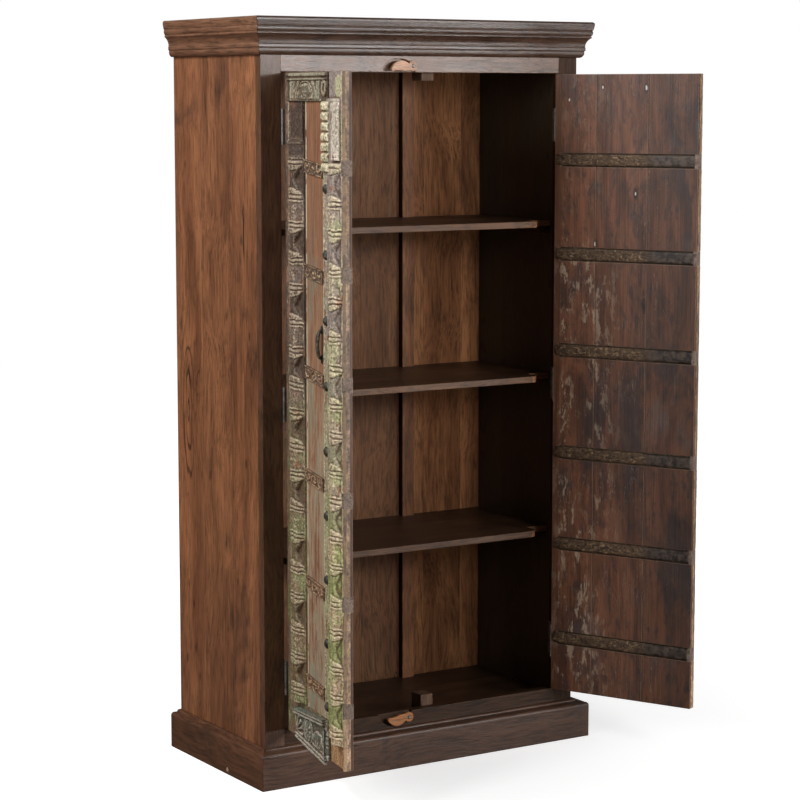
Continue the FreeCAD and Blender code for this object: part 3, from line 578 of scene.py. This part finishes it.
def hand_cut(t, coarse, depth, seed):
    """The surface made uneven, and worn softer."""
    return rubbed(t + wavering(t.shape, coarse, depth, seed))


def grid(s0, s1, z0, z1, step):
    s = np.linspace(s0, s1, int(round((s1 - s0) / step)) + 1)
    z = np.linspace(z0, z1, int(round((z1 - z0) / step)) + 1)
    return np.meshgrid(s, z)


def carved_post(x, z, half, flat, ground, proud, centres, tall, scoop):
    """Blocks with sunk faces, and waisted balusters with curved lips between them."""
    x = x + wavering(x.shape, 14, 1.1, 31)
    z = z + wavering(x.shape, 11, 1.3, 32)
    span = proud - ground
    full = ground + span * unit((half - abs(x)) / (half - flat))
    t = full.copy()
    zone = np.zeros_like(t)
    for count, centre in enumerate(centres):
        up = z - centre
        here = abs(up) <= tall / 2
        rim = np.minimum(tall / 2 - abs(up), (half - abs(x)) * 0.9)
        angle, reach = np.arctan2(up, x), np.hypot(up / (tall / 2), x / half)
        leaf = 0.5 + 0.5 * np.cos((4 + count % 2) * angle + 5 * reach + count)
        pattern = np.where(reach < 0.22, 1.0, leaf * unit(1.15 - reach))
        sunk = unit((rim - 4.0) / 1.5) * (2.4 - 1.5 * pattern)
        t = np.where(here, full - sunk, t)
    pitch = centres[1] - centres[0]
    reach = (pitch - tall) / 2
    for middle in [centre + pitch / 2 for centre in centres]:
        far = abs(z - middle)
        here = far < reach
        near_end = reach - far
        body = unit(far / (reach - 12.0))
        width = half * (0.22 + 0.66 * body ** 1.4)
        beside = unit((abs(x) - width) / 4.0)
        shape = full - scoop * beside - 1.2 * (1.0 - body)
        lip = 15.0 * (1.0 - (x / (0.95 * half)) ** 2)
        past = near_end - 13.6 - lip
        inner = 1.0 - beside
        shape = shape - 2.6 * inner
        cup = full - 0.7 - 1.6 * unit(1.0 + past / 3.0)
        shape = np.where(past < 0.0, cup - scoop * unit((abs(x) - half * 0.93) / 3.0), shape)
        shape = np.where((past >= 0.0) & (past < 2.2), shape - 1.6 * inner, shape)
        fillet = np.sqrt(unit(1.0 - ((near_end - 6.8) / 4.6) ** 2))
        shape = np.where(near_end < 13.6, full - 4.0 + 3.8 * fillet, shape)
        t = np.where(here, shape, t)
        zone = np.where(here & (past > 0.0), np.maximum(beside, 0.8), zone)
    t = np.where(abs(x) < half, t, ground)
    return np.maximum(t, np.minimum(ground, full)), zone


def old_paint(name, coats, patches, cream, timber, grounds, bare=0.3, worn=1.0, bare_foot=None):
    """Layers of worn paint: brown dirt and painted shade in the hollows, broken pale ridges
    with painted highlight, and bare wood where it flaked.
    """
    made = {}
    for side in door_swing:
        paint = Finish(f"{name}_{side}")
        across, out, up = shut_place(paint, side)
        raised, zone = [
            wired(paint.tree, "ShaderNodeAttribute", out="Fac", attribute_name=mark_name)
            for mark_name in ("raised", "zone")]
        wander = paint.noise(3.2, 4.0, (1.0, 1.0, 1.0), (0.0, 0.0, 0.3))
        level_on_door = up + (wander - 0.5) * 1.1
        climb = paint.band(level_on_door, 0.55, 1.25)
        grain = paint.noise(1.0, 5.0, (190.0, 190.0, 16.0), rough=0.7)
        flake = paint.noise(34.0, 7.0, (1.0, 1.0, 0.7), (0.0, 1.7, 0.0), 0.72)
        crumb = paint.noise(185.0, 5.0, rough=0.72)
        coat, patch, beside = [
            paint.blend(climb, lower, upper) for upper, lower in (coats, patches, grounds)]
        coat = paint.laid(coat, patch, paint.noise(13.0, 6.0, rough=0.68), 0.45, 0.56, 0.9)
        coat = paint.laid(coat, beside, zone, 0.2, 0.9)
        wood_seen = paint.laid(tuple(0.45 * c for c in timber), timber, grain, 0.3, 0.68)
        coat = paint.laid(coat, wood_seen, flake, 0.47 - 0.14 * bare, 0.42 - 0.14 * bare)
        # The carving's hollows go brown and its ridges cream: partly dirt and worn paint, partly
        # painted shade and painted highlight from the relief.
        hollow = raised + (flake - 0.5) * 0.9
        coat = paint.laid(coat, (0.085, 0.045, 0.024), hollow, 0.42, 0.12, 0.8)
        ridge = raised + (flake - 0.5) * 1.2
        ridge = ridge + (crumb - 0.5) * 1.3
        crest = paint.band(ridge, 0.60, 0.88, 0.0, 0.8 * worn) * paint.band(zone, 0.3, 0.9, 1.0, 0.2)
        coat = paint.blend(crest, coat, cream)
        if bare_foot:
            plank = paint.laid(tuple(0.5 * c for c in bare_foot), bare_foot, grain, 0.3, 0.66)
            coat = paint.laid(coat, plank, up, 0.200, 0.190)
        fine = paint.band(crumb, 0.30, 0.70, 0.42, 1.75) * paint.band(grain, 0.25, 0.75, 0.78, 1.2)
        coat = paint.shaded(coat, fine)
        side_grain = paint.blend(crumb, (0.140, 0.086, 0.048), (0.370, 0.250, 0.158))
        coat = sawn_edge(paint, across, up, flake, coat, side_grain, 0.85, 0.2)
        bumps = flake * 1.6 + (grain + crumb)
        made[side] = paint.set(
            base_color=coat, roughness=paint.band(flake, 0.3, 0.7, 0.80, 0.55),
            normal=paint.relief(bumps, 0.0016))
    return made


outer_paint = old_paint(
    "outer_stile_paint", ((0.160, 0.115, 0.090), (0.215, 0.150, 0.084)),
    ((0.115, 0.076, 0.050), (0.205, 0.215, 0.092)), (0.46, 0.37, 0.25), (0.30, 0.125, 0.055),
    ((0.055, 0.032, 0.021), (0.120, 0.085, 0.038)), bare=0.45, worn=0.8)
field_foot, field_head, door_top = 234.0, 1698.0, 1765.5
outer_blocks = [381.6 + 150.7 * i for i in range(-1, 8)]
for side in door_swing:
    s, z = grid(35.0, 137.0, field_foot, field_head, 1.5)
    t, zone = carved_post(s - 86.0, z, 49.0, 14.7, 2.5, 19.0, outer_blocks, 54.0, 11.0)
    top_block = (z > 1563.0) & (z < 1602.0)
    t[z > 1563.0] = 2.5
    face = 2.5 + 16.5 * unit((49.0 - abs(s - 86.0)) / 34.3)
    t = np.where(top_block, face - np.where(abs(z - 1582.0) < 14.0, 2.0, 0.0), t)
    arch = z - 1602.0 - 9.0 * np.sqrt(unit(1.0 - ((s - 86.0) / 49.0) ** 2))
    t[(z >= 1602.0) & (arch < 0.0)] = 7.0
    t[(z > 1604.0) & ((s < 40.0) | (s > 131.0))] = 5.5
    zone = np.where((z > 1563.0) & (s > 44.0), 1.0, np.where(z > 1563.0, 0.35, zone))
    t = hand_cut(t, 6, 0.35, 5) + wavering(t.shape, 3, 0.22, 35)
    carve("carved_stile", side, s, z, np.maximum(t, 1.0), 0.0, outer_paint, "outer_stile", zone=zone)

# Meeting stiles. The stile at the free edge of each door is carved in the same way but
# narrower and bolder, with a plain rounded strip above; its paint is paler, cream over green.

meeting_paint = old_paint(
    "meeting_stile_paint", ((0.290, 0.230, 0.180), (0.380, 0.275, 0.165)),
    ((0.340, 0.330, 0.180), (0.335, 0.345, 0.140)), (0.56, 0.46, 0.31), (0.32, 0.140, 0.065),
    ((0.215, 0.170, 0.150), (0.225, 0.245, 0.085)), bare=0.45, worn=0.9,
    bare_foot=(0.450, 0.255, 0.120))
whitewash = old_paint(
    "whitewash", 2 * [(0.50, 0.425, 0.350)], 2 * [(0.38, 0.33, 0.25)], (0.62, 0.56, 0.45),
    (0.30, 0.185, 0.120), 2 * [(0.33, 0.26, 0.20)], bare=0.2, worn=0.6)
meeting_blocks = [344.3 + 155.0 * i for i in range(-1, 8)]
batten_rows = (281.0, 535.5, 779.5, 1049.6, 1301.8, 1545.9)
for side in door_swing:
    s, z = grid(306.0, 408.0, 138.5, door_top, 1.5)
    x = s - 371.0
    t, zone = carved_post(x, z, 35.0, 10.5, 7.0, 24.5, meeting_blocks, 54.0, 6.5)
    t[(z > 1556.0) | (z < 194.5)] = 7.0
    t[(s > 310.0) & (s < 313.5) & (z > 194.5) & (z < 1703.5)] = 5.0
    thin = (s < 397.0) & ((z < 194.5) | (z > 1703.5))
    dome = unit(1.0 - np.hypot((x + 2.0) / 27.0, (z - 1731.0) / 27.0) ** 3)
    thin_face = np.where(z > 1703.5, 0.2 + 1.8 * dome ** 0.3, 1.2)
    t = np.where(thin, thin_face, t)
    zone = np.where((z < 194.5) | (s > 398.0), 0.3, np.where(z > 1556.0, 1.0, zone))
    zone[(z > 1703.5) & (dome > 0.1)] = 0.0
    t = hand_cut(t, 6, 0.35, 6) + wavering(t.shape, 3, 0.22, 36)
    for row in batten_rows:
        t[(s > 399.0) & (abs(z - row) < 18.6)] = 0.05
    t = np.where((s < 397.0) & ((z < 194.0) | (z > 1704.0)), np.clip(t, 0.1, 2.0), t)
    carve(
        "free_stile", side, s, z, np.clip(t, 0.05, 26.0), 0.0, meeting_paint, "meeting_stile",
        zone=zone)
    s, z = grid(344.0, 398.0, 1563.6, 1703.5, 1.5)
    t = 6.0 + 11.5 * np.sqrt(unit(1.0 - ((s - 371.0) / 27.6) ** 2))
    t = t - 1.2 * (abs(z - 1571.0) < 1.6) - 1.2 * (abs(z - 1696.0) < 1.6)
    t = hand_cut(t, 5, 0.35, 37)
    carve("plain_strip", side, s, z, t, 5.0, whitewash, "meeting_stile")

# Centre panels. A flat board up the middle of each door, its paint nearly all scraped away:
# orange-brown wood with grey and green left in the grain.

panel_paint = {}
for side in door_swing:
    panel = Finish("scraped_panel_" + side)
    across, out, up = shut_place(panel, side)
    fibre = panel.noise(1.0, 6.0, (210.0, 210.0, 7.0), rough=0.72)
    streak = panel.noise(1.0, 6.0, (74.0, 74.0, 5.5), (0.0, 0.0, 1.4), 0.68, 0.8)
    cloud = panel.noise(5.2, 5.0, (2.2, 1.0, 0.9), (0.0, 0.0, 0.5), 0.66, 0.5)
    middle = panel.band(abs(across - 0.200), 0.048, 0.016)
    tone = panel.laid((0.135, 0.060, 0.031), (0.350, 0.170, 0.088), fibre, 0.32, 0.66)
    lower = panel.band(up, 1.30, 0.70, 0.08, 1.0)
    scraped = streak * 0.5 + cloud * 0.5
    left_over = panel.band(scraped, 0.44, 0.53) * lower
    tone = panel.blend(left_over * 0.75, tone, (0.370, 0.300, 0.200))
    teal = panel.band(cloud, 0.47, 0.58) * panel.band(streak, 0.36, 0.52)
    teal = teal * (middle * panel.band(up, 1.45, 1.15, 0.08, 1.0))
    tone = panel.blend(teal * 0.85, tone, (0.205, 0.225, 0.160))
    red = panel.band(scraped, 0.47, 0.40) * panel.band(up, 1.35, 0.80)
    tone = panel.blend(red * 0.7, tone, (0.165, 0.060, 0.030))
    thread = panel.band(panel.noise(1.0, 5.0, (420.0, 420.0, 10.0), rough=0.7), 0.56, 0.70)
    thread = thread * panel.band(up, 1.35, 0.95, 0.12, 0.8)
    tone = panel.blend(thread, tone, (0.56, 0.45, 0.31))
    pit = panel.band(panel.noise(1.0, 5.0, (330.0, 330.0, 22.0), (0.0, 2.0, 0.0), 0.7), 0.44, 0.30)
    tone = panel.blend(pit * 0.7, tone, (0.085, 0.048, 0.030))
    tone = panel.blend(panel.band(up, 1.10, 1.60), tone, (0.86, 0.74, 0.66), "MULTIPLY")
    border = panel.band(abs(across - 0.212), 0.0535, 0.0565)
    border = border * panel.band(panel.noise(24.0, 5.0), 0.36, 0.48)
    tone = panel.blend(border, tone, (0.50, 0.42, 0.29))
    panel_paint[side] = panel.set(
        base_color=tone, roughness=panel.band(fibre, 0.3, 0.7, 0.72, 0.55),
        normal=panel.relief(fibre + streak, 0.0022))
for side in door_swing:
    s, z = grid(152.0, 272.0, field_foot, field_head, 3.0)
    worn = 2.4 + wavering(s.shape, 3, 0.18, 7) + 0.6 * unit((abs(s - 212.0) - 56.5) / 3.0)
    carve("worn_panel", side, s, z, np.clip(worn, 1.5, 3.0), 0.0, panel_paint, "centre_panel")

# Crossbars. Six short tiles nailed across each panel, a little out of level, carved with
# scrolls and leaves and stained nearly black, the lower ones rubbed back to orange wood.

crossbar_paint = old_paint(
    "crossbar_paint", ((0.095, 0.055, 0.032), (0.185, 0.100, 0.052)),
    ((0.060, 0.034, 0.020), (0.130, 0.066, 0.034)), (0.40, 0.27, 0.155), (0.20, 0.100, 0.050),
    ((0.030, 0.017, 0.010), (0.040, 0.022, 0.012)))
for side in door_swing:
    for count, row in enumerate((297.0, 541.0, 802.0, 1051.0, 1294.0, 1541.0)):
        s, z = grid(152.0, 272.0, -15.0, 15.0, 1.2)
        t = np.full_like(s, 6.4)
        sway = wavering(s.shape, 9, 1.0, 40 + count)
        for k in range(3):
            x, y = s - (172.0 + 40.0 * k) + sway, z + (2.5 if k % 2 else -2.5) + sway
            reach, angle = np.hypot(x * 0.72, y), np.arctan2(y, x * 0.72)
            scroll = np.cos((1 if k % 2 else -1) * angle - reach * 0.40 + k + count)
            t += np.where(reach < 14.0, 1.9 * scroll * unit(reach / 3.0), 0.0)
        t = np.where(z > 12.0, 8.8, np.where(z > 10.6, 5.2, t))
        t[z < -13.2] = 7.8
        t = hand_cut(t, 4, 0.3, 50 + count)
        slope = 5.0 - 10.0 * (s - 152.0) / 120.0
        carve(
            f"tile_{count + 1}", side, s, z + row + slope, np.clip(t, 4.0, 9.0), 2.0, crossbar_paint,
            "crossbars")

# Stud strips. A thin strip with a ragged cream border carries iron studs with domed heads;
# near its top it is carved as a string of long beads.

strip_paint = old_paint(
    "stud_strip_paint", ((0.265, 0.200, 0.140), (0.265, 0.225, 0.125)),
    ((0.270, 0.260, 0.170), (0.300, 0.310, 0.165)), (0.54, 0.47, 0.32), (0.30, 0.145, 0.072),
    ((0.230, 0.140, 0.085), (0.200, 0.135, 0.080)))
bead_paint = old_paint(
    "bead_paint", 2 * [(0.420, 0.350, 0.230)], 2 * [(0.300, 0.300, 0.170)], (0.62, 0.54, 0.38),
    (0.26, 0.130, 0.070), 2 * [(0.080, 0.055, 0.035)])
stud_iron = {}
for side in door_swing:
    iron = Finish("stud_iron_" + side)
    shut_place(iron, side)
    pits = iron.noise(160.0, 5.0, rough=0.65)
    crust = iron.band(iron.noise(70.0, 5.0, rough=0.7), 0.48, 0.62)
    iron_colour = iron.laid((0.016, 0.018, 0.015), (0.052, 0.056, 0.044), pits, 0.3, 0.7)
    iron_colour = iron.blend(crust * 0.6, iron_colour, (0.165, 0.120, 0.070))
    stud_iron[side] = iron.set(
        base_color=iron_colour, metallic=iron.band(crust, 0.0, 1.0, 0.45, 0.05),
        roughness=iron.band(pits, 0.3, 0.7, 0.42, 0.66), normal=iron.relief(pits, 0.0008))
    dress([f"door_{side}_studs"], stud_iron[side])
    s, z = grid(273.0, 305.0, field_foot, 1677.5, 1.6)
    x = s - 289.0
    t = 2.6 + wavering(s.shape, 4, 0.25, 8)
    border = abs(x) - 12.0 - wavering(s.shape, 6, 1.1, 9)
    t = t + unit(border / 2.0) * 0.9
    for stud in range(9):
        ring = np.hypot(x, z - (265.4 + 153.75 * stud)) - wavering(s.shape, 5, 0.7, 10 + stud)
        t = t + 0.8 * np.exp(-((ring - 14.5) / 2.2) ** 2)
    carve("studded_strip", side, s, z, np.clip(rubbed(t), 1.0, 4.0), 0.0, strip_paint, "stud_strip")
    s, z = grid(273.0, 321.0, 1536.0, field_head, 1.4)
    along = np.mod(z - 1533.0, 23.6) - 11.8
    round_over = unit(1.0 - abs((s - 297.0) / 24.2) ** 2.6) ** 0.5
    t = 5.0 + 9.5 * round_over * unit(1.0 - abs(along / 11.6) ** 2.4) ** 0.5
    t = hand_cut(t, 5, 0.5, 38)
    carve("bead_string", side, s, z, np.clip(t, 3.0, 15.0), 2.0, bead_paint, "stud_strip")

# Head blocks. A thick carved block across the top of each door: thin mouldings above a scalloped
# shell, two scrolls and upright bars, and a ring at the free end; dark, with paler ribs.

head_paint = old_paint(
    "head_block_paint", 2 * [(0.105, 0.078, 0.050)], 2 * [(0.180, 0.175, 0.110)], (0.34, 0.30, 0.21),
    (0.20, 0.105, 0.055), 2 * [(0.065, 0.042, 0.027)], worn=0.8)
for side in door_swing:
    s, z = grid(35.0, 304.0, field_head, door_top, 1.3)
    t = np.full_like(s, 5.6)
    reach, angle = np.hypot(s - 165.0, (z - 1700.0) * 1.25), np.arctan2(z - 1700.0, s - 165.0)
    petal = 8.2 + 2.6 * abs(np.cos(4.5 * angle)) ** 0.7
    t = np.where((reach < 50.0) & (reach > 12.0), petal, t)
    t[reach < 9.0] = 11.0
    t[abs(reach - 55.0) < 2.2] += 4.6
    for centre, lean in ((104.0, 1), (226.0, -1)):
        bend = (s - centre) * lean - 0.012 * (z - 1700.0) ** 2 + 10.0
        horn = (abs(bend) < 7.0) & (abs(s - centre) < 30.0)
        t = np.where(horn, 9.6 - 2.4 * (abs(bend) < 1.8), t)
    for bar in (64.0, 76.0, 88.0, 246.0, 258.0):
        t[(abs(s - bar) < 3.4) & (z < 1744.0)] = 10.2
    t[(s < 56.0) & (z < 1744.0)] = 4.6
    turn = np.hypot(s - 288.0, (z - 1728.0) * 0.78)
    t[s > 266.0] = 3.4
    t[abs(turn - 11.5) < 3.4] += 5.6
    t[(turn < 5.0) & (s > 288.0)] += 4.0
    t[(z > 1744.0) & (s < 266.0)] = 7.0
    t[(z > 1746.5) & (z < 1750.5) & (s < 300.0)] = 10.6
    t[(z > 1755.5) & (z < 1764.0) & (s < 300.0)] = 11.4
    t[(z < 1702.0) & (s < 266.0)] = 8.0
    zone = np.where((t < 6.0) | (s < 56.0), 1.0, 0.0)
    t = hand_cut(t, 7, 0.45, 21) + wavering(s.shape, 3, 0.25, 23)
    carve("carved_head", side, s, z, np.clip(t, 2.0, 12.0), 0.0, head_paint, "head_block", zone=zone)

# Foot blocks. A thick block low on each door, with a projecting ledge, a pleated fan, a rosette
# and a lotus over two thin mouldings, and a scroll post beside it; the left one hangs a little
# below its door, out of level.

foot_paint = old_paint(
    "foot_block_paint", 2 * [(0.135, 0.118, 0.085)], 2 * [(0.115, 0.140, 0.108)], (0.42, 0.37, 0.29),
    (0.20, 0.110, 0.058), 2 * [(0.055, 0.038, 0.026)])
for side in door_swing:
    s, v = grid(79.0, 286.0, 0.0, 100.0, 1.2)
    share = (s - 79.0) / 207.0
    base = 138.5 - (18.0 if side == "left" else 0.0) * share
    crown = 218.0 + 16.0 * share
    z = base + (crown - base) * v / 100.0
    up = z - base
    t = np.full_like(s, 6.0)
    fan_reach, fan_turn = np.hypot(s - 84.0, up - 22.0), np.arctan2(up - 22.0, s - 84.0)
    t = np.where(fan_reach < 44.0, 8.6 + 2.8 * np.cos(15 * fan_turn) * unit(fan_reach / 14.0), t)
    rose_reach, rose_turn = np.hypot(s - 165.0, up - 46.0), np.arctan2(up - 46.0, s - 165.0)
    petals = 9.0 + 2.6 * abs(np.cos(4 * rose_turn)) * np.sin(unit(rose_reach / 26.0) * math.pi)
    t = np.where(rose_reach < 26.0, petals, t)
    t[rose_reach < 6.0] = 12.5
    t[abs(rose_reach - 30.0) < 2.0] += 3.2
    lotus_reach, lotus_turn = np.hypot(s - 238.0, (up - 24.0) * 0.9), np.arctan2(up - 24.0, s - 238.0)
    lotus = 8.6 + 3.2 * abs(np.cos(3.5 * (lotus_turn - math.pi / 2)))
    t = np.where((lotus_reach < 40.0) & (up > 24.0), lotus, t)
    t[s > 279.0] = 12.6
    t[up < 19.0] = 6.0
    t[abs(up - 14.5) < 2.6] = 12.0
    t[abs(up - 5.0) < 2.8] = 12.8
    t = hand_cut(t, 8, 0.25, 22)
    ledge = crown - z
    t = np.where(ledge < 15.0, 18.0 - 2.6 * (abs(ledge - 9.0) < 1.6), t)
    t = np.where(t < 17.0, np.clip(t, 5.0, 13.0), t)
    carve("carved_foot", side, s, z, np.clip(t, 5.0, 18.0), 4.02, foot_paint, "foot_block")
    s, z = grid(288.0, 306.0, 137.0, 233.0, 1.2)
    curl = np.hypot(s - 297.0, (z - 221.0) * 0.8)
    t = 5.0 + 5.5 * np.sqrt(unit(1.0 - abs((s - 297.0) / 9.2) ** 2.4))
    t = t - np.where(z < 208.0, 2.2 * (abs(np.mod(z - 140.0, 22.0) - 11.0) < 2.4), 0.0)
    t = np.where(z >= 208.0, np.clip(11.0 - 2.6 * abs(np.sin(curl * 0.62)), 4.5, 12.0), t)
    t = hand_cut(t, 5, 0.6, 24)
    carve("scroll_post", side, s, z, np.clip(t, 4.2, 12.5), 2.0, foot_paint, "foot_block")

# Battens. Six bars of rough burr wood let into the back of each door, their ends through the
# free edge; the hinge end is rough and golden, the other third rubbed smooth and iron grey.

batten_finish = {}
for side in door_swing:
    burr = Finish("batten_burr_" + side)
    across, out, up = shut_place(burr, side)
    knobs = burr.noise(135.0, 7.0, (0.6, 1.0, 1.0), rough=0.80, twist=1.0)
    smooth_end = burr.band(across + knobs * 0.05, 0.27, 0.33)
    tone = burr.laid((0.010, 0.006, 0.004), (0.115, 0.066, 0.034), knobs, 0.36, 0.56)
    tone = burr.laid(tone, (0.42, 0.29, 0.165), knobs, 0.56, 0.63)
    stain = burr.noise(60.0, 6.0, rough=0.7)
    grey = burr.laid((0.012, 0.008, 0.006), (0.085, 0.058, 0.043), stain, 0.38, 0.62)
    tone = burr.blend(smooth_end, tone, grey)
    end_grain = burr.laid((0.030, 0.020, 0.015), (0.235, 0.165, 0.125), knobs, 0.34, 0.60)
    tone = burr.laid(tone, end_grain, across, 0.3994, 0.4000)
    batten_finish[side] = burr.set(
        base_color=tone, roughness=burr.band(smooth_end, 0.0, 1.0, 0.68, 0.50),
        normal=burr.relief(knobs, 0.0022))
    for count, row in enumerate(batten_rows):
        s, z = grid(4.0, 399.6, -15.0, 15.0, 1.6)
        s, z = s.T, z.T
        nose = np.sqrt(unit((s - 4.0) / 24.0))
        round_over = unit(1.0 - abs(z / (15.2 * (0.45 + 0.55 * nose))) ** 4) ** 0.6
        rough = np.clip((285.0 - s) / 40.0, 0.25, 1.0)
        lumps = wavering(s.shape, 4, 0.55, 60 + count) + wavering(s.shape, 2, 0.35, 70 + count)
        t = -16.0 - (4.6 + lumps * rough) * round_over * (0.35 + 0.65 * nose)
        carve(
            f"bar_{count + 1}", side, s, z + row, np.clip(t, -21.6, -15.6), -7.6, batten_finish,
            "battens")
        s, z = grid(400.0, 408.0, -18.0, 18.0, 1.0)
        edge = np.minimum(18.0 - abs(z), 408.0 - s)
        t = 7.0 - 0.8 * unit(1.0 - edge / 1.6)
        carve(
            f"bar_end_{count + 1}", side, s, z + row, t, -17.4, batten_finish, "battens")

# Handles. A forged iron bow with leaf-shaped feet, thinned towards its ends and nailed to the
# panel of each door; black, pitted and a little rusty.


def tube(start, ring, rows):
    """Faces of a tube from rows of points, and its two ends."""
    sides = [
        (k + j, k + (j + 1) % ring, k + ring + (j + 1) % ring, k + ring + j)
        for k in range(start, start + (rows - 1) * ring, ring) for j in range(ring)]
    last = start + (rows - 1) * ring
    return sides + [tuple(range(start, start + ring)), tuple(range(last, last + ring))]


for side in door_swing:
    bow, steps, ring = [], 41, 12
    for k in range(steps):
        a = math.pi * k / (steps - 1)
        z = 1130.0 - 33.0 * math.cos(a)
        t = 4.6 + 10.6 * math.sin(a) ** 0.72
        girth = 3.1 + 2.3 * math.sin(a) ** 0.8
        slope = math.atan2(10.6 * math.cos(a), 33.0 * max(math.sin(a), 0.15))
        for j in range(ring):
            b = 2 * math.pi * j / ring
            out = girth * 0.86 * math.sin(b)
            s = 260.0 + girth * 1.25 * math.cos(b)
            bow.append((s, z - out * math.sin(slope), t + out * math.cos(slope)))
    faces = tube(0, ring, steps)
    outline, levels = 28, ((3.0, 1.0), (4.6, 0.96), (5.3, 0.70))
    for centre, lean in ((1097.0, -1), (1163.0, 1)):
        faces += tube(len(bow), outline, len(levels))
        for level, shrink in levels:
            for j in range(outline):
                a = 2 * math.pi * j / outline
                point = 1.0 + 0.45 * max(0.0, lean * math.sin(a)) ** 3
                s = 260.0 + 8.6 * shrink * math.cos(a) * (1.12 - 0.12 * point)
                bow.append((s, centre + 8.6 * shrink * math.sin(a) * point, level))
    points = on_door(side, *np.array(bow).T)
    handle = closed_piece(f"door_{side}_forged_handle", points, faces, 40, stud_iron[side])
    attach(handle, f"door_{side}")
    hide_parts(f"door_{side}_handle")

# Floor and light. A plain pale floor under a white surround; two soft lamps in front, two from
# the left, a wide one from the right for the sheen, and one near the floor for the cornice.

floor = bpy.data.objects.new("floor", bpy.data.meshes.new("floor"))
floor.data.from_pydata(
    [(-9, -9, -0.0004), (9, -9, -0.0004), (9, 9, -0.0004), (-9, 9, -0.0004)], [], [(0, 1, 2, 3)])
scene.collection.objects.link(floor)
pale = bpy.data.materials.new("pale_floor")
pale.use_nodes = True
tree = pale.node_tree
tree.nodes.clear()
place = wired(tree, "ShaderNodeTexCoord", out="Object")
around = wired(tree, "ShaderNodeMapping", place, None, None, (0.40, 0.40, 0.40))
far = wired(tree, "ShaderNodeTexGradient", around, out="Fac", gradient_type="SPHERICAL")
fade = wired(tree, "ShaderNodeMapRange", far, None, None, 1.0, 0.50)
matt = wired(tree, "ShaderNodeBsdfDiffuse", (0.80, 0.80, 0.80))
glow = wired(tree, "ShaderNodeEmission", None, fade)
both = wired(tree, "ShaderNodeAddShader", matt, glow)
under = wired(tree, "ShaderNodeBsdfDiffuse", (0.20, 0.15, 0.12))
seen = wired(tree, "ShaderNodeLightPath", out="Is Camera Ray")
which = wired(tree, "ShaderNodeMixShader", seen, under, both)
wired(tree, "ShaderNodeOutputMaterial", which)
floor.data.materials.append(pale)

surround = bpy.data.worlds.new("surround")
scene.world = surround
surround.use_nodes = True
tree = surround.node_tree
tree.nodes.clear()
soft_sky = wired(tree, "ShaderNodeBackground", (1.0, 1.0, 1.0), 0.07)
white = wired(tree, "ShaderNodeBackground", (1.0, 1.0, 1.0))
seen = wired(tree, "ShaderNodeLightPath", out="Is Camera Ray")
wired(tree, "ShaderNodeOutputWorld", wired(tree, "ShaderNodeMixShader", seen, soft_sky, white))

for name, spot, aim, wide, tall, power in (
        ("lamp_key", (-0.3, -5.0, 2.6), (0.1, 0.2, 1.2), 1.2, 1.2, 66.0),
        ("lamp_low_front", (-0.1, -4.9, 1.45), (0.0, 0.3, 1.5), 1.0, 0.8, 38.0),
        ("lamp_sheen", (2.35, -5.0, 2.25), (0.0, 0.0, 1.6), 1.9, 0.7, 142.0),
        ("lamp_floor", (2.6, -3.9, 0.15), (0.0, 0.0, 1.88), 1.4, 0.5, 46.0),
        ("lamp_left", (-3.0, 0.5, 3.7), (-0.4, 0.1, 1.3), 1.4, 1.4, 118.0),
        ("lamp_low_left", (-4.6, -1.75, 2.3), (-0.1, -0.1, 1.2), 1.0, 1.2, 76.0)):
    lamp = bpy.data.lights.new(name, "AREA")
    lamp.shape = "RECTANGLE"
    lamp.size, lamp.size_y, lamp.energy = wide, tall, power
    holder = bpy.data.objects.new(name, lamp)
    scene.collection.objects.link(holder)
    holder.location = spot
    way = [b - a for a, b in zip(spot, aim)]
    level = math.hypot(way[0], way[1])
    holder.rotation_euler = (math.atan2(level, -way[2]), 0.0, math.atan2(-way[0], way[1]))

camera = bpy.data.objects.new("camera", bpy.data.cameras.new("camera"))
scene.collection.objects.link(camera)
camera.data.lens = 107.5
camera.data.sensor_width = 36.0
camera.location = (-3.2654, -5.0677, 1.7042)
camera.rotation_euler = (math.radians(90.0 - 7.2), 0.0, math.radians(-32.1))
scene.camera = camera
scene.view_settings.view_transform = "Standard"
